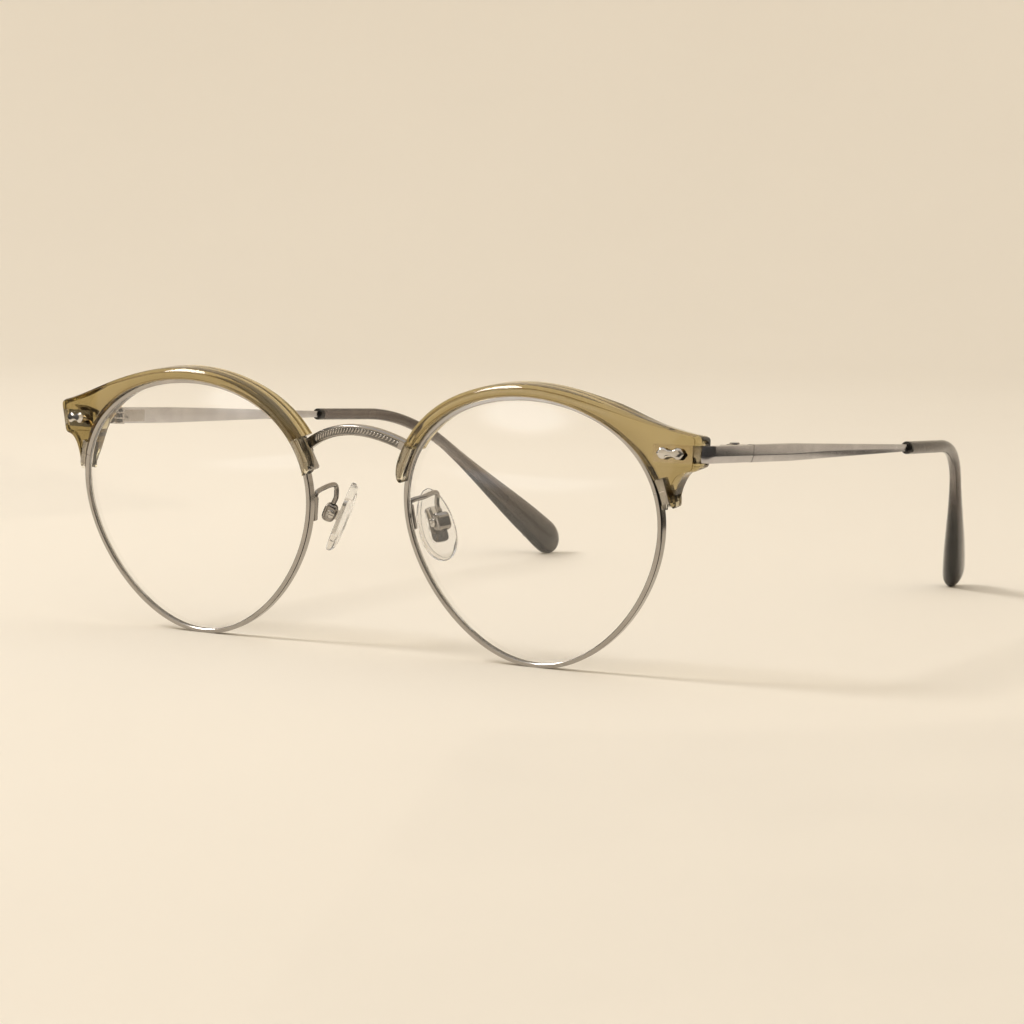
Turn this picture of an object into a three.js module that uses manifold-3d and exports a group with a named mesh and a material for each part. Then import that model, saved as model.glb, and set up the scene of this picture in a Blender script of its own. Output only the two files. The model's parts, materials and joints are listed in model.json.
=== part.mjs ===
// Round browline eyeglasses: metal rims, bridge and temples, clear acetate brows and temple tips.
// Millimetres. The front faces -Y, +X is the wearer's left, +Z is up and the temples run back along +Y.
// The glasses stand open on a table, on the feet of both rims and on both temple tips.

import * as THREE from 'three';
import { mergeVertices } from 'three/addons/utils/BufferGeometryUtils.js';
import Module from 'manifold-3d';

const wasm = await Module();
wasm.setup();

// Clearances
const SEAT = 0.06;
const RUNNING = 0.05;

// Lenses and rims
const LENS_WIDTH = 49.4;
const LENS_HEIGHT = 45.8;
const LENS_TAPER = 0.156;
const LENS_THICKNESS = 1.3;
const LENS_DOME = 2.2;
const NOSE_GAP = 20.6;
const FRONT_TILT = 6;
const RIM_WALL = 0.8;
const RIM_DEPTH = 1.9;
const RIM_CHAMFER = 0.2;
const GROOVE_DEPTH = 0.3;
const GROOVE_WIDTH = 0.8;
const RIM_STEPS = 40;
const LENS_RINGS = [0.3, 0.66, 1];

// Rim lock: the split block that closes the rim round the lens
const LOCK_ANGLE = 21;
const LOCK_HEIGHT = 4.4;
const LOCK_WIDTH = 1.5;
const LOCK_FRONT = -0.5;
const LOCK_BACK = 1.9;
const LOCK_SLIT = 0.25;
const LOCK_SCREW_RADIUS = 0.38;
const LOCK_HEAD_RADIUS = 0.62;
const LOCK_HEAD_HEIGHT = 0.5;

// Acetate brow
const BROW_FRONT = 2.5;
const BROW_BACK = 2.2;
const BROW_HEIGHT = 2.1;
const BROW_BEVEL = 0.35;
const BROW_LIP = 0.75;
const BROW_NASAL_ANGLE = 161.5;
const BROW_ARCH_ANGLE = 90;
const BROW_TIP_ANGLE = 13.8;
const BROW_SWEEP_LEAD = 14.7;
const BROW_SWEEP_RADIUS = 66;
const BEVEL_SHARE = 0.37;
const ARCH_STEPS = 14;
const TAB_HEIGHT = 1.9;
const TAB_START_ANGLE = 120;
const TAB_FULL_ANGLE = 150;
const TAB_FLARE = 0.8;
const FLARE_START_ANGLE = 110;
const FLARE_FULL_ANGLE = 155;
const TAB_ROUND = 9;
const TAB_END_SHARE = 0.3;
const TAB_BACK = -0.3;
const WING_REACH = 6.7;
const WING_TOP_DROP = 5.6;
const WING_BOTTOM_DROP = 11.5;
const WING_RAKE = 0.5;
const WING_CORNER = 0.9;
const WING_TIP_WIDTH = 2.3;
const WING_LEAD = 12;
const WING_TAIL = 9.2;
const WING_TOP_SLOPE = 12.5;
const WING_LEAN = 0.75;
const WING_LEAN_RUN = 9;
const WING_LEAN_END = 6.4;
const WING_BEVEL_DEPTH = 1.1;
const WING_BEVEL_INSET = 0.45;
const WING_TIP_BACK = 0.8;
const WING_TIP_DROP = 17.6;
const TIP_ROUND_ANGLE = 4;
const TIP_END_SHARE = 0.8;
const COVE_OUT = 0.5;
const COVE_DROP = 0.2;
const WING_FAN = 0.75;
const WING_ANGLES = [41, 40, 34, 33];
const WING_STEPS = [16, 3, 2, 3, 6, 3];

// Bridge
const BRIDGE_HEIGHT = 1.9;
const BRIDGE_DEPTH = 1.8;
const BRIDGE_CHAMFER = 0.35;
const BRIDGE_OVERHANG = 0.6;
const BRIDGE_Y = -0.1;
const BRIDGE_DROP = 7.6;
const BRIDGE_FALL = 3.3;
const BRIDGE_SWEEP = 1.6;
const BRIDGE_STEPS = 16;
const FOOT_ANGLE = 152;
const FOOT_HEIGHT = 5.2;
const FOOT_WIDTH = 1.35;
const FOOT_FRONT = -1.7;
const FOOT_BACK = 1.5;
const BROW_SCREW_RADIUS = 0.3;
const BROW_SCREW_HEAD = 0.55;
const BROW_SCREW_HEAD_HEIGHT = 0.3;
const BROW_SCREW_BITE = 0.45;

// Temples, measured from the butt where they meet the endpieces
const TEMPLE_PROUD = 0.6;
const BUTT_BACK = 18.1;
const BUTT_DROP = 11.18;
const TEMPLE_DROP = 2.7;
const BUTT_GAP = 0.16;
const BAR_THICKNESS = 1.3;
const BAR_HEIGHT = 3.0;
const BAR_END_HEIGHT = 1.3;
const BAR_END_THICKNESS = 0.95;
const BAR_FULL_LENGTH = 16;
const BAR_BEVEL_HEIGHT = 1.2;
const BAR_BEVEL_INSET = 0.4;
const SLEEVE_START = 65.5;
const BEND_START = 84;
const BEND_RADIUS = 38;
const BEND_ANGLE = 37.27;
const TOE_IN = 0.32;
const TOE_START = 86.7;
const TOE_EASE = 12;
const TEMPLE_LENGTH = 144.6;
const CORE_END_GAP = 17.5;
const CORE_SPACING = 6;

// Temple tip sleeve
const SLEEVE_HEIGHT = 2.4;
const SLEEVE_THICKNESS = 2.3;
const PADDLE_HEIGHT = 7.6;
const PADDLE_THICKNESS = 4.3;
const PADDLE_SWELL = 34.5;
const PADDLE_END = 4.1;
const PADDLE_CLOSE_SHARE = 0.97;
const SLEEVE_SIDES = 12;
const SLEEVE_SPACING = 5;
const PADDLE_END_SPACING = 1.3;

// Endpiece strap and rivet
const LEG_ANGLE = 14;
const LEG_LENGTH = 9.0;
const CORNER_Y = -15.1;
const CORNER_RADIUS = 1.7;
const STRAP_HEIGHT = 2.9;
const CORNER_STEPS = 5;
const RIVET_ALONG = 5.9;
const RIVET_LENGTH = 4.75;
const RIVET_WIDTH = 1.95;
const RIVET_WAIST = 1.2;
const RIVET_PROUD = 0.45;
const RIVET_POINT = 0.33;
const RIVET_SHOULDER = 0.95;
const RIVET_NECK = 1.9;
const RIVET_PITCH = 2.8;
const RIVET_PIN_RADIUS = 0.4;
const RIVET_SEEK_STEPS = 20;

// Hinge
const KNUCKLE_RADIUS = 1.3;
const KNUCKLE_GAP = 0.1;
const HINGE_FORWARD = 2.0;
const LEAF_THICKNESS = 0.9;
const FRONT_LEAF_LENGTH = 8;
const TEMPLE_LEAF_LENGTH = 6.6;
const HINGE_SCREW_RADIUS = 0.5;
const HINGE_HEAD_RADIUS = 0.85;
const HINGE_HEAD_HEIGHT = 0.3;

// Nose pads
const PAD_OUT = 0.1;
const PAD_Y = 8.95;
const PAD_DROP = 25.25;
const PAD_LENGTH = 13.2;
const PAD_WIDTH = 7.0;
const PAD_TEARDROP = 0.14;
const PAD_NOSE_SIDE = 1.6;
const PAD_OUTER_SIDE = 0.35;
const PAD_SIDES = 24;
const PAD_FLAT_SHARE = 0.45;
const PAD_CROWN_SHARE = 0.8;
const PAD_CROWN_DEPTH = 0.7;
const PAD_EDGE_SHARE = 0.95;
const PAD_EDGE_DEPTH = 0.65;
const PAD_REAR_SHARE = 0.85;
const PAD_SPLAY = 28;
const PAD_LEAN = 27;
const CORE_LENGTH = 6.4;
const CORE_WIDTH = 3.2;
const CORE_THICKNESS = 0.6;
const LUG_WIDTH = 1.0;
const LUG_RADIUS = 0.85;
const PAD_AXIS_HEIGHT = 1.7;
const CUP_LENGTH = 3.4;
const CUP_WALL = 1.0;
const CUP_BASE = 0.5;
const CUP_FOOT = 0.8;
const CUP_ROUND = 0.8;
const PAD_SCREW_RADIUS = 0.35;
const PAD_SCREW_HEAD = 0.75;
const PAD_SCREW_HEAD_HEIGHT = 0.45;
const ARM_RADIUS = 0.45;
const ARM_ANGLE = 178;
const ARM_SHOE_HEIGHT = 4.4;
const ARM_SHOE_DEPTH = 0.9;
const ARM_ARCH_OUT = 0.6;
const ARM_ARCH_DROP = 19.5;
const ARM_ARCH_FRONT = 4.6;
const ARM_ARCH_BACK = 8.5;
const ARM_STEPS = 18;
const ARM_SIDES = 8;

// Fasteners
const SCREW_SIDES = 12;
const HEAD_SIDE_SHARE = 0.6;
const HEAD_TOP_SHARE = 0.7;

const X_AXIS = new THREE.Vector3(1, 0, 0);
const Y_AXIS = new THREE.Vector3(0, 1, 0);
const Z_AXIS = new THREE.Vector3(0, 0, 1);
const radians = THREE.MathUtils.degToRad;
const { lerp, clamp, smoothstep } = THREE.MathUtils;

// Solids from closed geometry, for joining and cutting

function solidOf(geometry) {
  const bare = new THREE.BufferGeometry();
  bare.setAttribute('position', geometry.getAttribute('position'));
  bare.setIndex(geometry.getIndex());
  const merged = mergeVertices(bare);
  const vertProperties = Float32Array.from(merged.getAttribute('position').array);
  const triVerts = Uint32Array.from(merged.getIndex().array);
  return new wasm.Manifold(new wasm.Mesh({ numProp: 3, vertProperties, triVerts }));
}

function geometryOf(solid) {
  const { vertProperties, triVerts } = solid.getMesh();
  const geometry = new THREE.BufferGeometry();
  geometry.setAttribute('position', new THREE.Float32BufferAttribute(vertProperties, 3));
  geometry.setIndex(new THREE.Uint32BufferAttribute(triVerts, 1));
  return geometry;
}

function join(...pieces) {
  return geometryOf(pieces.map(solidOf).reduce((whole, piece) => whole.add(piece)));
}

function cut(body, ...tools) {
  return geometryOf(tools.map(solidOf).reduce((left, tool) => left.subtract(tool), solidOf(body)));
}

function placed(geometry, matrix) {
  return geometry.clone().applyMatrix4(matrix);
}

// The same solid on the other side of the nose, with its faces turned out again
function mirrored(geometry) {
  const copy = geometry.clone().scale(-1, 1, 1);
  const index = Array.from(copy.getIndex().array);
  for (let i = 0; i < index.length; i += 3) {
    index.splice(i + 1, 2, index[i + 2], index[i + 1]);
  }
  return copy.setIndex(index);
}

// Triangles that fill a flat section, wound in the order of its points
function capTriangles(section) {
  const normal = new THREE.Vector3();
  section.forEach((point, i) => {
    const next = section[(i + 1) % section.length];
    normal.add(point.clone().sub(section[0]).cross(next.clone().sub(section[0])));
  });
  normal.normalize();
  const across = section[1].clone().sub(section[0]).projectOnPlane(normal).normalize();
  const upward = normal.clone().cross(across);
  const outline = section.map((point) => new THREE.Vector2(point.dot(across), point.dot(upward)));
  return THREE.ShapeUtils.triangulateShape(outline, []).map(([a, b, c]) => {
    const turn = outline[b].clone().sub(outline[a]).cross(outline[c].clone().sub(outline[a]));
    return turn > 0 ? [a, b, c] : [a, c, b];
  });
}

// A closed skin over sections of equal point count, capped at its ends or joined in a loop
function loft(sections, looped = false) {
  const count = sections[0].length;
  const spans = looped ? sections.length : sections.length - 1;
  const triangles = [];
  for (let i = 0; i < spans; i += 1) {
    const here = i * count;
    const next = ((i + 1) % sections.length) * count;
    for (let j = 0; j < count; j += 1) {
      const k = (j + 1) % count;
      triangles.push([here + j, here + k, next + k], [here + j, next + k, next + j]);
    }
  }
  if (!looped) {
    const last = spans * count;
    capTriangles(sections[0]).forEach(([a, b, c]) => triangles.push([a, c, b]));
    capTriangles(sections[spans]).forEach(([a, b, c]) => triangles.push([a + last, b + last, c + last]));
  }
  const points = sections.flat();
  const volumes = triangles.map(([a, b, c]) => points[a].dot(points[b].clone().cross(points[c])));
  const outward = volumes.reduce((sum, volume) => sum + volume) > 0;
  const faces = outward ? triangles : triangles.map(([a, b, c]) => [a, c, b]);
  const geometry = new THREE.BufferGeometry().setFromPoints(points);
  geometry.setIndex(faces.flat());
  return geometry;
}

// Plain forms

function box([x0, x1], [y0, y1], [z0, z1]) {
  const geometry = new THREE.BoxGeometry(x1 - x0, y1 - y0, z1 - z0);
  return geometry.translate((x0 + x1) / 2, (y0 + y1) / 2, (z0 + z1) / 2);
}

function rod(radius, from, to, sides = SCREW_SIDES) {
  const geometry = new THREE.CylinderGeometry(radius, radius, to - from, sides);
  return geometry.rotateX(Math.PI / 2).translate(0, 0, (from + to) / 2);
}

// A hole whose flats clear a round of this radius
function bore(radius, from, to) {
  return rod(radius / Math.cos(Math.PI / SCREW_SIDES), from, to);
}

// A screw along Z with its head above zero and its shank below
function screw(radius, length, headRadius, headHeight) {
  const profile = [
    new THREE.Vector2(0, -length),
    new THREE.Vector2(radius, -length),
    new THREE.Vector2(radius, 0),
    new THREE.Vector2(headRadius, 0),
    new THREE.Vector2(headRadius, headHeight * HEAD_SIDE_SHARE),
    new THREE.Vector2(headRadius * HEAD_TOP_SHARE, headHeight),
    new THREE.Vector2(0, headHeight),
  ];
  return new THREE.LatheGeometry(profile, SCREW_SIDES).rotateX(Math.PI / 2);
}

function roundedRectangle(width, height, radius) {
  const x = width / 2;
  const y = height / 2;
  const shape = new THREE.Shape();
  shape.absarc(x - radius, y - radius, radius, 0, Math.PI / 2);
  shape.absarc(radius - x, y - radius, radius, Math.PI / 2, Math.PI);
  shape.absarc(radius - x, radius - y, radius, Math.PI, 1.5 * Math.PI);
  shape.absarc(x - radius, radius - y, radius, 1.5 * Math.PI, 2 * Math.PI);
  return shape;
}

function slab(shape, depth) {
  return new THREE.ExtrudeGeometry(shape, { depth, bevelEnabled: false, curveSegments: 3 });
}

// The rim's outline: an ellipse that is drawn out sideways above its middle

const WIDEST_SINE = (Math.sqrt(1 + 8 * LENS_TAPER ** 2) - 1) / (4 * LENS_TAPER);
const WIDEST_SHARE = Math.sqrt(1 - WIDEST_SINE ** 2) * (1 + LENS_TAPER * WIDEST_SINE);
const HALF_WIDTH = LENS_WIDTH / 2 / WIDEST_SHARE;
const HALF_HEIGHT = LENS_HEIGHT / 2;
const RIM_X = (NOSE_GAP + LENS_WIDTH) / 2;
const RIM_OUT = RIM_WALL / 2;
const RIM_BACK = RIM_DEPTH / 2;
const RIM_Z = HALF_HEIGHT + RIM_OUT;
const RIM_TOP = LENS_HEIGHT + RIM_WALL;
const LENS_SIDE = NOSE_GAP / 2 + LENS_WIDTH;
const RIM_ANGLES = Array.from({ length: RIM_STEPS }, (_, i) => ((i + 0.5) * 360) / RIM_STEPS);

function rimFrame(degrees) {
  const angle = radians(degrees);
  const sine = Math.sin(angle);
  const cosine = Math.cos(angle);
  const x = RIM_X + HALF_WIDTH * cosine * (1 + LENS_TAPER * sine);
  const point = new THREE.Vector3(x, 0, RIM_Z + HALF_HEIGHT * sine);
  const run = HALF_WIDTH * (LENS_TAPER * Math.cos(2 * angle) - sine);
  const along = new THREE.Vector3(run, 0, HALF_HEIGHT * cosine).normalize();
  const outward = new THREE.Vector3(along.z, 0, -along.x);
  return { point, along, outward };
}

function onRim(degrees, out, depth) {
  const { point, outward } = rimFrame(degrees);
  return point.addScaledVector(outward, out).setY(depth);
}

// Axes on the rim: X outward, Y backward, Z along the rim as its angle grows
function rimPlace(degrees) {
  const { point, along, outward } = rimFrame(degrees);
  return new THREE.Matrix4().makeBasis(outward, Y_AXIS, along).setPosition(point);
}

// Places of the front and of the left temple, before the glasses are centred

const WING_END = LENS_SIDE + WING_REACH;
const WING_TOP = RIM_TOP - WING_TOP_DROP;
const WING_BOTTOM = RIM_TOP - WING_BOTTOM_DROP;
const frontPlace = new THREE.Matrix4().makeRotationX(radians(FRONT_TILT));
const templePlace = new THREE.Matrix4().makeRotationX(-radians(TEMPLE_DROP));
templePlace.setPosition(
  new THREE.Vector3(WING_END + TEMPLE_PROUD, BUTT_BACK, RIM_TOP - BUTT_DROP).applyMatrix4(frontPlace),
);
const templeInFront = frontPlace.clone().invert().multiply(templePlace);

// Rim with its groove and its split lock

const LOCK_OUT = RIM_OUT + LOCK_WIDTH;
const lockPlace = rimPlace(LOCK_ANGLE);
const lockScrewPlace = new THREE.Matrix4().makeRotationX(Math.PI);
lockScrewPlace.setPosition(RIM_OUT + LOCK_WIDTH / 2, (LOCK_FRONT + LOCK_BACK) / 2, -LOCK_HEIGHT / 2);
lockScrewPlace.premultiply(lockPlace);

function rim() {
  const profile = [
    [-RIM_OUT, -RIM_BACK],
    [-RIM_OUT, -GROOVE_WIDTH / 2],
    [GROOVE_DEPTH - RIM_OUT, 0],
    [-RIM_OUT, GROOVE_WIDTH / 2],
    [-RIM_OUT, RIM_BACK],
    [RIM_OUT - RIM_CHAMFER, RIM_BACK],
    [RIM_OUT, RIM_BACK - RIM_CHAMFER],
    [RIM_OUT, RIM_CHAMFER - RIM_BACK],
    [RIM_OUT - RIM_CHAMFER, -RIM_BACK],
  ];
  const section = (angle) => profile.map(([out, depth]) => onRim(angle, out, depth));
  const ring = loft(RIM_ANGLES.map(section), true);
  const reach = LOCK_HEIGHT / 2;
  const root = (GROOVE_DEPTH + RIM_WALL) / 2 - RIM_OUT;
  const block = box([root, LOCK_OUT], [LOCK_FRONT, LOCK_BACK], [-reach, reach]);
  const slit = box([-RIM_WALL, 2 * LOCK_OUT], [-RIM_DEPTH, 2 * LOCK_BACK], [-LOCK_SLIT / 2, LOCK_SLIT / 2]);
  const hole = bore(LOCK_SCREW_RADIUS + RUNNING, -2 * LOCK_HEIGHT, LOCK_HEIGHT);
  return cut(join(ring, placed(block, lockPlace)), placed(slit, lockPlace), placed(hole, lockScrewPlace));
}

function rimLockScrew() {
  const body = screw(LOCK_SCREW_RADIUS, LOCK_HEIGHT, LOCK_HEAD_RADIUS, LOCK_HEAD_HEIGHT);
  return placed(body.translate(0, 0, SEAT), lockScrewPlace);
}

// Lens: a shallow dome whose bevelled edge sits in the groove
function lens() {
  const edge = GROOVE_DEPTH - RIM_OUT - SEAT;
  const shoulder = -RIM_OUT - SEAT;
  const half = LENS_THICKNESS / 2;
  const centre = new THREE.Vector3(RIM_X, 0, RIM_Z);
  const ring = (out, share, depth) => RIM_ANGLES.map((angle) => {
    const point = onRim(angle, out, 0).sub(centre).multiplyScalar(share).add(centre);
    return point.setY(depth - LENS_DOME * (1 - share ** 2));
  });
  return loft([
    ...LENS_RINGS.map((share) => ring(shoulder, share, -half)),
    ring(shoulder, 1, -GROOVE_WIDTH / 2),
    ring(edge, 1, 0),
    ring(shoulder, 1, GROOVE_WIDTH / 2),
    ...LENS_RINGS.toReversed().map((share) => ring(shoulder, share, half)),
  ]);
}

// Strap of the endpiece, seen from above in the temple's frame: a leg behind the brow, a bend and a side

const legLine = new THREE.Vector2(Math.cos(radians(LEG_ANGLE)), Math.sin(radians(LEG_ANGLE)));
const legFront = new THREE.Vector2(legLine.y, -legLine.x);

function strapLine(offset) {
  const turn = radians(90 - LEG_ANGLE);
  const corner = new THREE.Vector2(0, CORNER_Y);
  const centre = new THREE.Vector2(-CORNER_RADIUS, CORNER_Y + CORNER_RADIUS * Math.tan(turn / 2));
  const line = [corner.addScaledVector(legLine, -LEG_LENGTH).addScaledVector(legFront, offset)];
  for (let i = 0; i <= CORNER_STEPS; i += 1) {
    const angle = turn * (i / CORNER_STEPS - 1);
    const spoke = new THREE.Vector2(Math.cos(angle), Math.sin(angle));
    line.push(spoke.multiplyScalar(CORNER_RADIUS + offset).add(centre));
  }
  line.push(new THREE.Vector2(offset, -BUTT_GAP / 2));
  return line;
}

// A flat bar's section with a long bevel low on its outer face
function barSection(thickness, height) {
  const bevel = Math.min(BAR_BEVEL_HEIGHT, height / 2);
  const inset = (BAR_BEVEL_INSET * bevel) / BAR_BEVEL_HEIGHT;
  return [
    [-thickness / 2, -height / 2],
    [thickness / 2 - inset, -height / 2],
    [thickness / 2, bevel - height / 2],
    [thickness / 2, height / 2],
    [-thickness / 2, height / 2],
  ];
}

// Axes of the rivet on the strap's leg: X along the leg, Y up, Z out of the front
const rivetPlace = new THREE.Matrix4().makeBasis(
  new THREE.Vector3(legLine.x, legLine.y, 0),
  Z_AXIS,
  new THREE.Vector3(legFront.x, legFront.y, 0),
);
rivetPlace.setPosition(-legLine.x * RIVET_ALONG, CORNER_Y - legLine.y * RIVET_ALONG, 0);
const RIVET_PINS = [-RIVET_PITCH / 2, RIVET_PITCH / 2];

function rivetHoles(from, to) {
  return RIVET_PINS.map((x) => bore(RIVET_PIN_RADIUS + SEAT, from, to).translate(x, 0, 0));
}

function endpiece() {
  const outlines = barSection(BAR_THICKNESS, STRAP_HEIGHT).map(([out, z]) => ({ line: strapLine(out), z }));
  const places = outlines[0].line.keys();
  const sections = Array.from(places, (i) => outlines.map(({ line, z }) => {
    return new THREE.Vector3(line[i].x, line[i].y, z);
  }));
  const holes = rivetHoles(-BAR_THICKNESS, BAR_THICKNESS);
  return cut(loft(sections), ...holes.map((hole) => placed(hole, rivetPlace)));
}

// Room for the strap in the brow, open to the back
function strapChannel() {
  const outer = strapLine(BAR_THICKNESS / 2 + SEAT);
  const start = outer[0].clone().addScaledVector(legLine, -SEAT);
  const back = start.clone().addScaledVector(legFront, -BAR_THICKNESS - 2 * SEAT);
  const corner = new THREE.Vector2(back.x, -BUTT_GAP / 2);
  const shape = new THREE.Shape([start, ...outer.slice(1), corner, back]);
  const height = STRAP_HEIGHT + 2 * SEAT;
  return placed(slab(shape, height).translate(0, 0, -height / 2), templeInFront);
}

// Acetate brow. Its nasal tab is a plate in front of the bridge's foot, which shows behind it

const BROW_IN = RIM_OUT + SEAT;
const FOOT_OUT = RIM_OUT + SEAT + FOOT_WIDTH;
const footPlace = rimPlace(FOOT_ANGLE);
const browScrewPlace = new THREE.Matrix4().makeRotationX(-Math.PI / 2);
browScrewPlace.setPosition(FOOT_OUT - FOOT_WIDTH / 2, FOOT_BACK, 0);
browScrewPlace.premultiply(footPlace);

// How far the brow's face lies behind its plane as it sweeps back to the temple
function sweepBack(x) {
  const past = Math.max(0, x - LENS_SIDE + BROW_SWEEP_LEAD);
  return BROW_SWEEP_RADIUS - Math.sqrt(BROW_SWEEP_RADIUS ** 2 - past ** 2);
}

function frontView(vector) {
  return new THREE.Vector2(vector.x, vector.z);
}

// Height of the brow over the rim along its arch, rounded off at the foot of the nasal tab
function archHeight(degrees) {
  const height = lerp(BROW_HEIGHT, TAB_HEIGHT, smoothstep(degrees, TAB_START_ANGLE, TAB_FULL_ANGLE));
  const past = Math.max(0, degrees - BROW_NASAL_ANGLE + TAB_ROUND) / TAB_ROUND;
  return height * lerp(TAB_END_SHARE, 1, Math.sqrt(1 - past ** 2));
}

// The wing's edge past the arch: its top, its end with rounded corners, the cove below and the rounded tip
function wingEdges() {
  const start = frontView(onRim(BROW_ARCH_ANGLE, BROW_IN + archHeight(BROW_ARCH_ANGLE), 0));
  const along = frontView(rimFrame(BROW_ARCH_ANGLE).along);
  const top = new THREE.Vector2(WING_END, WING_TOP);
  const bottom = new THREE.Vector2(WING_END - WING_RAKE, WING_BOTTOM);
  const tipAngle = BROW_TIP_ANGLE + TIP_ROUND_ANGLE;
  const tipSide = frontView(onRim(tipAngle, BROW_IN + WING_TIP_WIDTH, 0));
  const tipCorner = frontView(onRim(BROW_TIP_ANGLE, BROW_IN + WING_TIP_WIDTH, 0));
  const tipEnd = frontView(onRim(BROW_TIP_ANGLE, BROW_IN + WING_TIP_WIDTH * TIP_END_SHARE, 0));
  const lead = start.clone().addScaledVector(along, -WING_LEAD);
  const slope = radians(WING_TOP_SLOPE);
  const inward = new THREE.Vector2(-Math.cos(slope), Math.sin(slope));
  const tail = top.clone().addScaledVector(inward, WING_TAIL);
  const cove = new THREE.Vector2(tipSide.x + COVE_OUT, bottom.y - COVE_DROP);
  const near = (corner, towards) => {
    return towards.clone().sub(corner).setLength(WING_CORNER).add(corner);
  };
  const topEdge = new THREE.CubicBezierCurve(start, lead, tail, near(top, tail));
  const topCorner = new THREE.QuadraticBezierCurve(near(top, tail), top, near(top, bottom));
  const endEdge = new THREE.LineCurve(near(top, bottom), near(bottom, top));
  const bottomCorner = new THREE.QuadraticBezierCurve(near(bottom, top), bottom, near(bottom, cove));
  const coveEdge = new THREE.QuadraticBezierCurve(near(bottom, cove), cove, tipSide);
  const tipEdge = new THREE.QuadraticBezierCurve(tipSide, tipCorner, tipEnd);
  const angles = [BROW_ARCH_ANGLE, ...WING_ANGLES, tipAngle, BROW_TIP_ANGLE];
  return [topEdge, topCorner, endEdge, bottomCorner, coveEdge, tipEdge].map((curve, i) => ({
    curve,
    steps: WING_STEPS[i],
    fan: curve === topEdge ? WING_FAN : 1,
    from: angles[i],
    to: angles[i + 1],
  }));
}

// One section from the rim out to the edge, with the rebate that holds the rim
function browSection(degrees, edge, flare) {
  const inner = onRim(degrees, BROW_IN, 0);
  const outer = new THREE.Vector3(edge.x, 0, edge.y);
  const outward = outer.clone().sub(inner).normalize();
  const leanFull = WING_END - WING_LEAN_END;
  const rise = clamp((edge.y - WING_BOTTOM) / (WING_TOP - WING_BOTTOM), 0, 1);
  const lean = rise * smoothstep(edge.x, leanFull - WING_LEAN_RUN, leanFull);
  const rear = outer.clone().setZ(edge.y - WING_LEAN * lean);
  const bevel = Math.min(BROW_BEVEL, BEVEL_SHARE * outer.distanceTo(inner));
  const inset = lerp(bevel, WING_BEVEL_INSET, lean);
  const drop = lerp(bevel, WING_BEVEL_DEPTH, lean);
  const full = degrees < BROW_ARCH_ANGLE ? smoothstep(edge.y, RIM_TOP - WING_TIP_DROP, WING_BOTTOM) : 1;
  const back = lerp(WING_TIP_BACK, BROW_BACK, full);
  const lip = onRim(degrees, RIM_OUT - BROW_LIP, 0);
  const seat = RIM_BACK + SEAT;
  const at = (from, out, depth) => {
    const point = from.clone().addScaledVector(outward, out);
    return point.setY(depth + sweepBack(point.x));
  };
  return [
    at(inner, 0, bevel - BROW_FRONT),
    at(inner, bevel, -BROW_FRONT),
    at(outer, -inset, -BROW_FRONT),
    at(outer, 0, drop - BROW_FRONT),
    at(rear, flare, back - bevel),
    at(rear, flare - bevel, back),
    at(lip, 0, back),
    lip.clone().setY(seat),
    inner.clone().setY(seat),
  ];
}

function brow() {
  const sections = [];
  for (let i = 0; i < ARCH_STEPS; i += 1) {
    const degrees = lerp(BROW_NASAL_ANGLE, BROW_ARCH_ANGLE, i / ARCH_STEPS);
    const edge = frontView(onRim(degrees, BROW_IN + archHeight(degrees), 0));
    const opening = smoothstep(degrees, FLARE_START_ANGLE, FLARE_FULL_ANGLE);
    const flare = (TAB_FLARE * opening * archHeight(degrees)) / BROW_HEIGHT;
    sections.push(browSection(degrees, edge, flare));
  }
  wingEdges().forEach(({ curve, steps, fan, from, to }, i, edges) => {
    const end = i === edges.length - 1 ? steps : steps - 1;
    for (let step = 0; step <= end; step += 1) {
      const share = step / steps;
      sections.push(browSection(lerp(from, to, share ** fan), curve.getPoint(share), 0));
    }
  });
  const far = BROW_BACK + BROW_SWEEP_RADIUS / 2;
  const lockRoom = box(
    [-RIM_WALL, LOCK_OUT + SEAT],
    [LOCK_FRONT - SEAT, LOCK_BACK + SEAT],
    [-2 * LOCK_HEIGHT, LOCK_HEIGHT / 2 + SEAT],
  );
  const footRoom = box(
    [RIM_OUT - SEAT, FOOT_OUT + SEAT],
    [FOOT_FRONT - SEAT, far],
    [-FOOT_HEIGHT / 2 - SEAT, FOOT_HEIGHT / 2 + SEAT],
  );
  const tabRelief = box([-2 * BROW_LIP, far], [TAB_BACK, far], [-FOOT_HEIGHT / 2 - SEAT, far]);
  const pins = rivetHoles(0, BROW_FRONT + BROW_BACK + BAR_THICKNESS);
  const screwHole = bore(BROW_SCREW_RADIUS + SEAT, FOOT_FRONT - FOOT_BACK - BROW_SCREW_BITE - SEAT, 0);
  return cut(
    loft(sections),
    placed(lockRoom, lockPlace),
    placed(footRoom, footPlace),
    placed(tabRelief, footPlace),
    bridgeArch(SEAT, far),
    strapChannel(),
    placed(screwHole, browScrewPlace),
    ...pins.map((pin) => placed(placed(pin, rivetPlace), templeInFront)),
  );
}

// Rivet: a waisted bar on the brow's face with two pins through to the strap

// Distance along the rivet's axis from the strap's middle to the brow's face
function rivetReach() {
  const place = templeInFront.clone().multiply(rivetPlace);
  const axis = Z_AXIS.clone().transformDirection(place);
  const point = new THREE.Vector3().setFromMatrixPosition(place);
  const start = point.clone();
  for (let i = 0; i < RIVET_SEEK_STEPS; i += 1) {
    point.addScaledVector(axis, (sweepBack(point.x) - BROW_FRONT - point.y) / axis.y);
  }
  return point.distanceTo(start);
}

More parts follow.
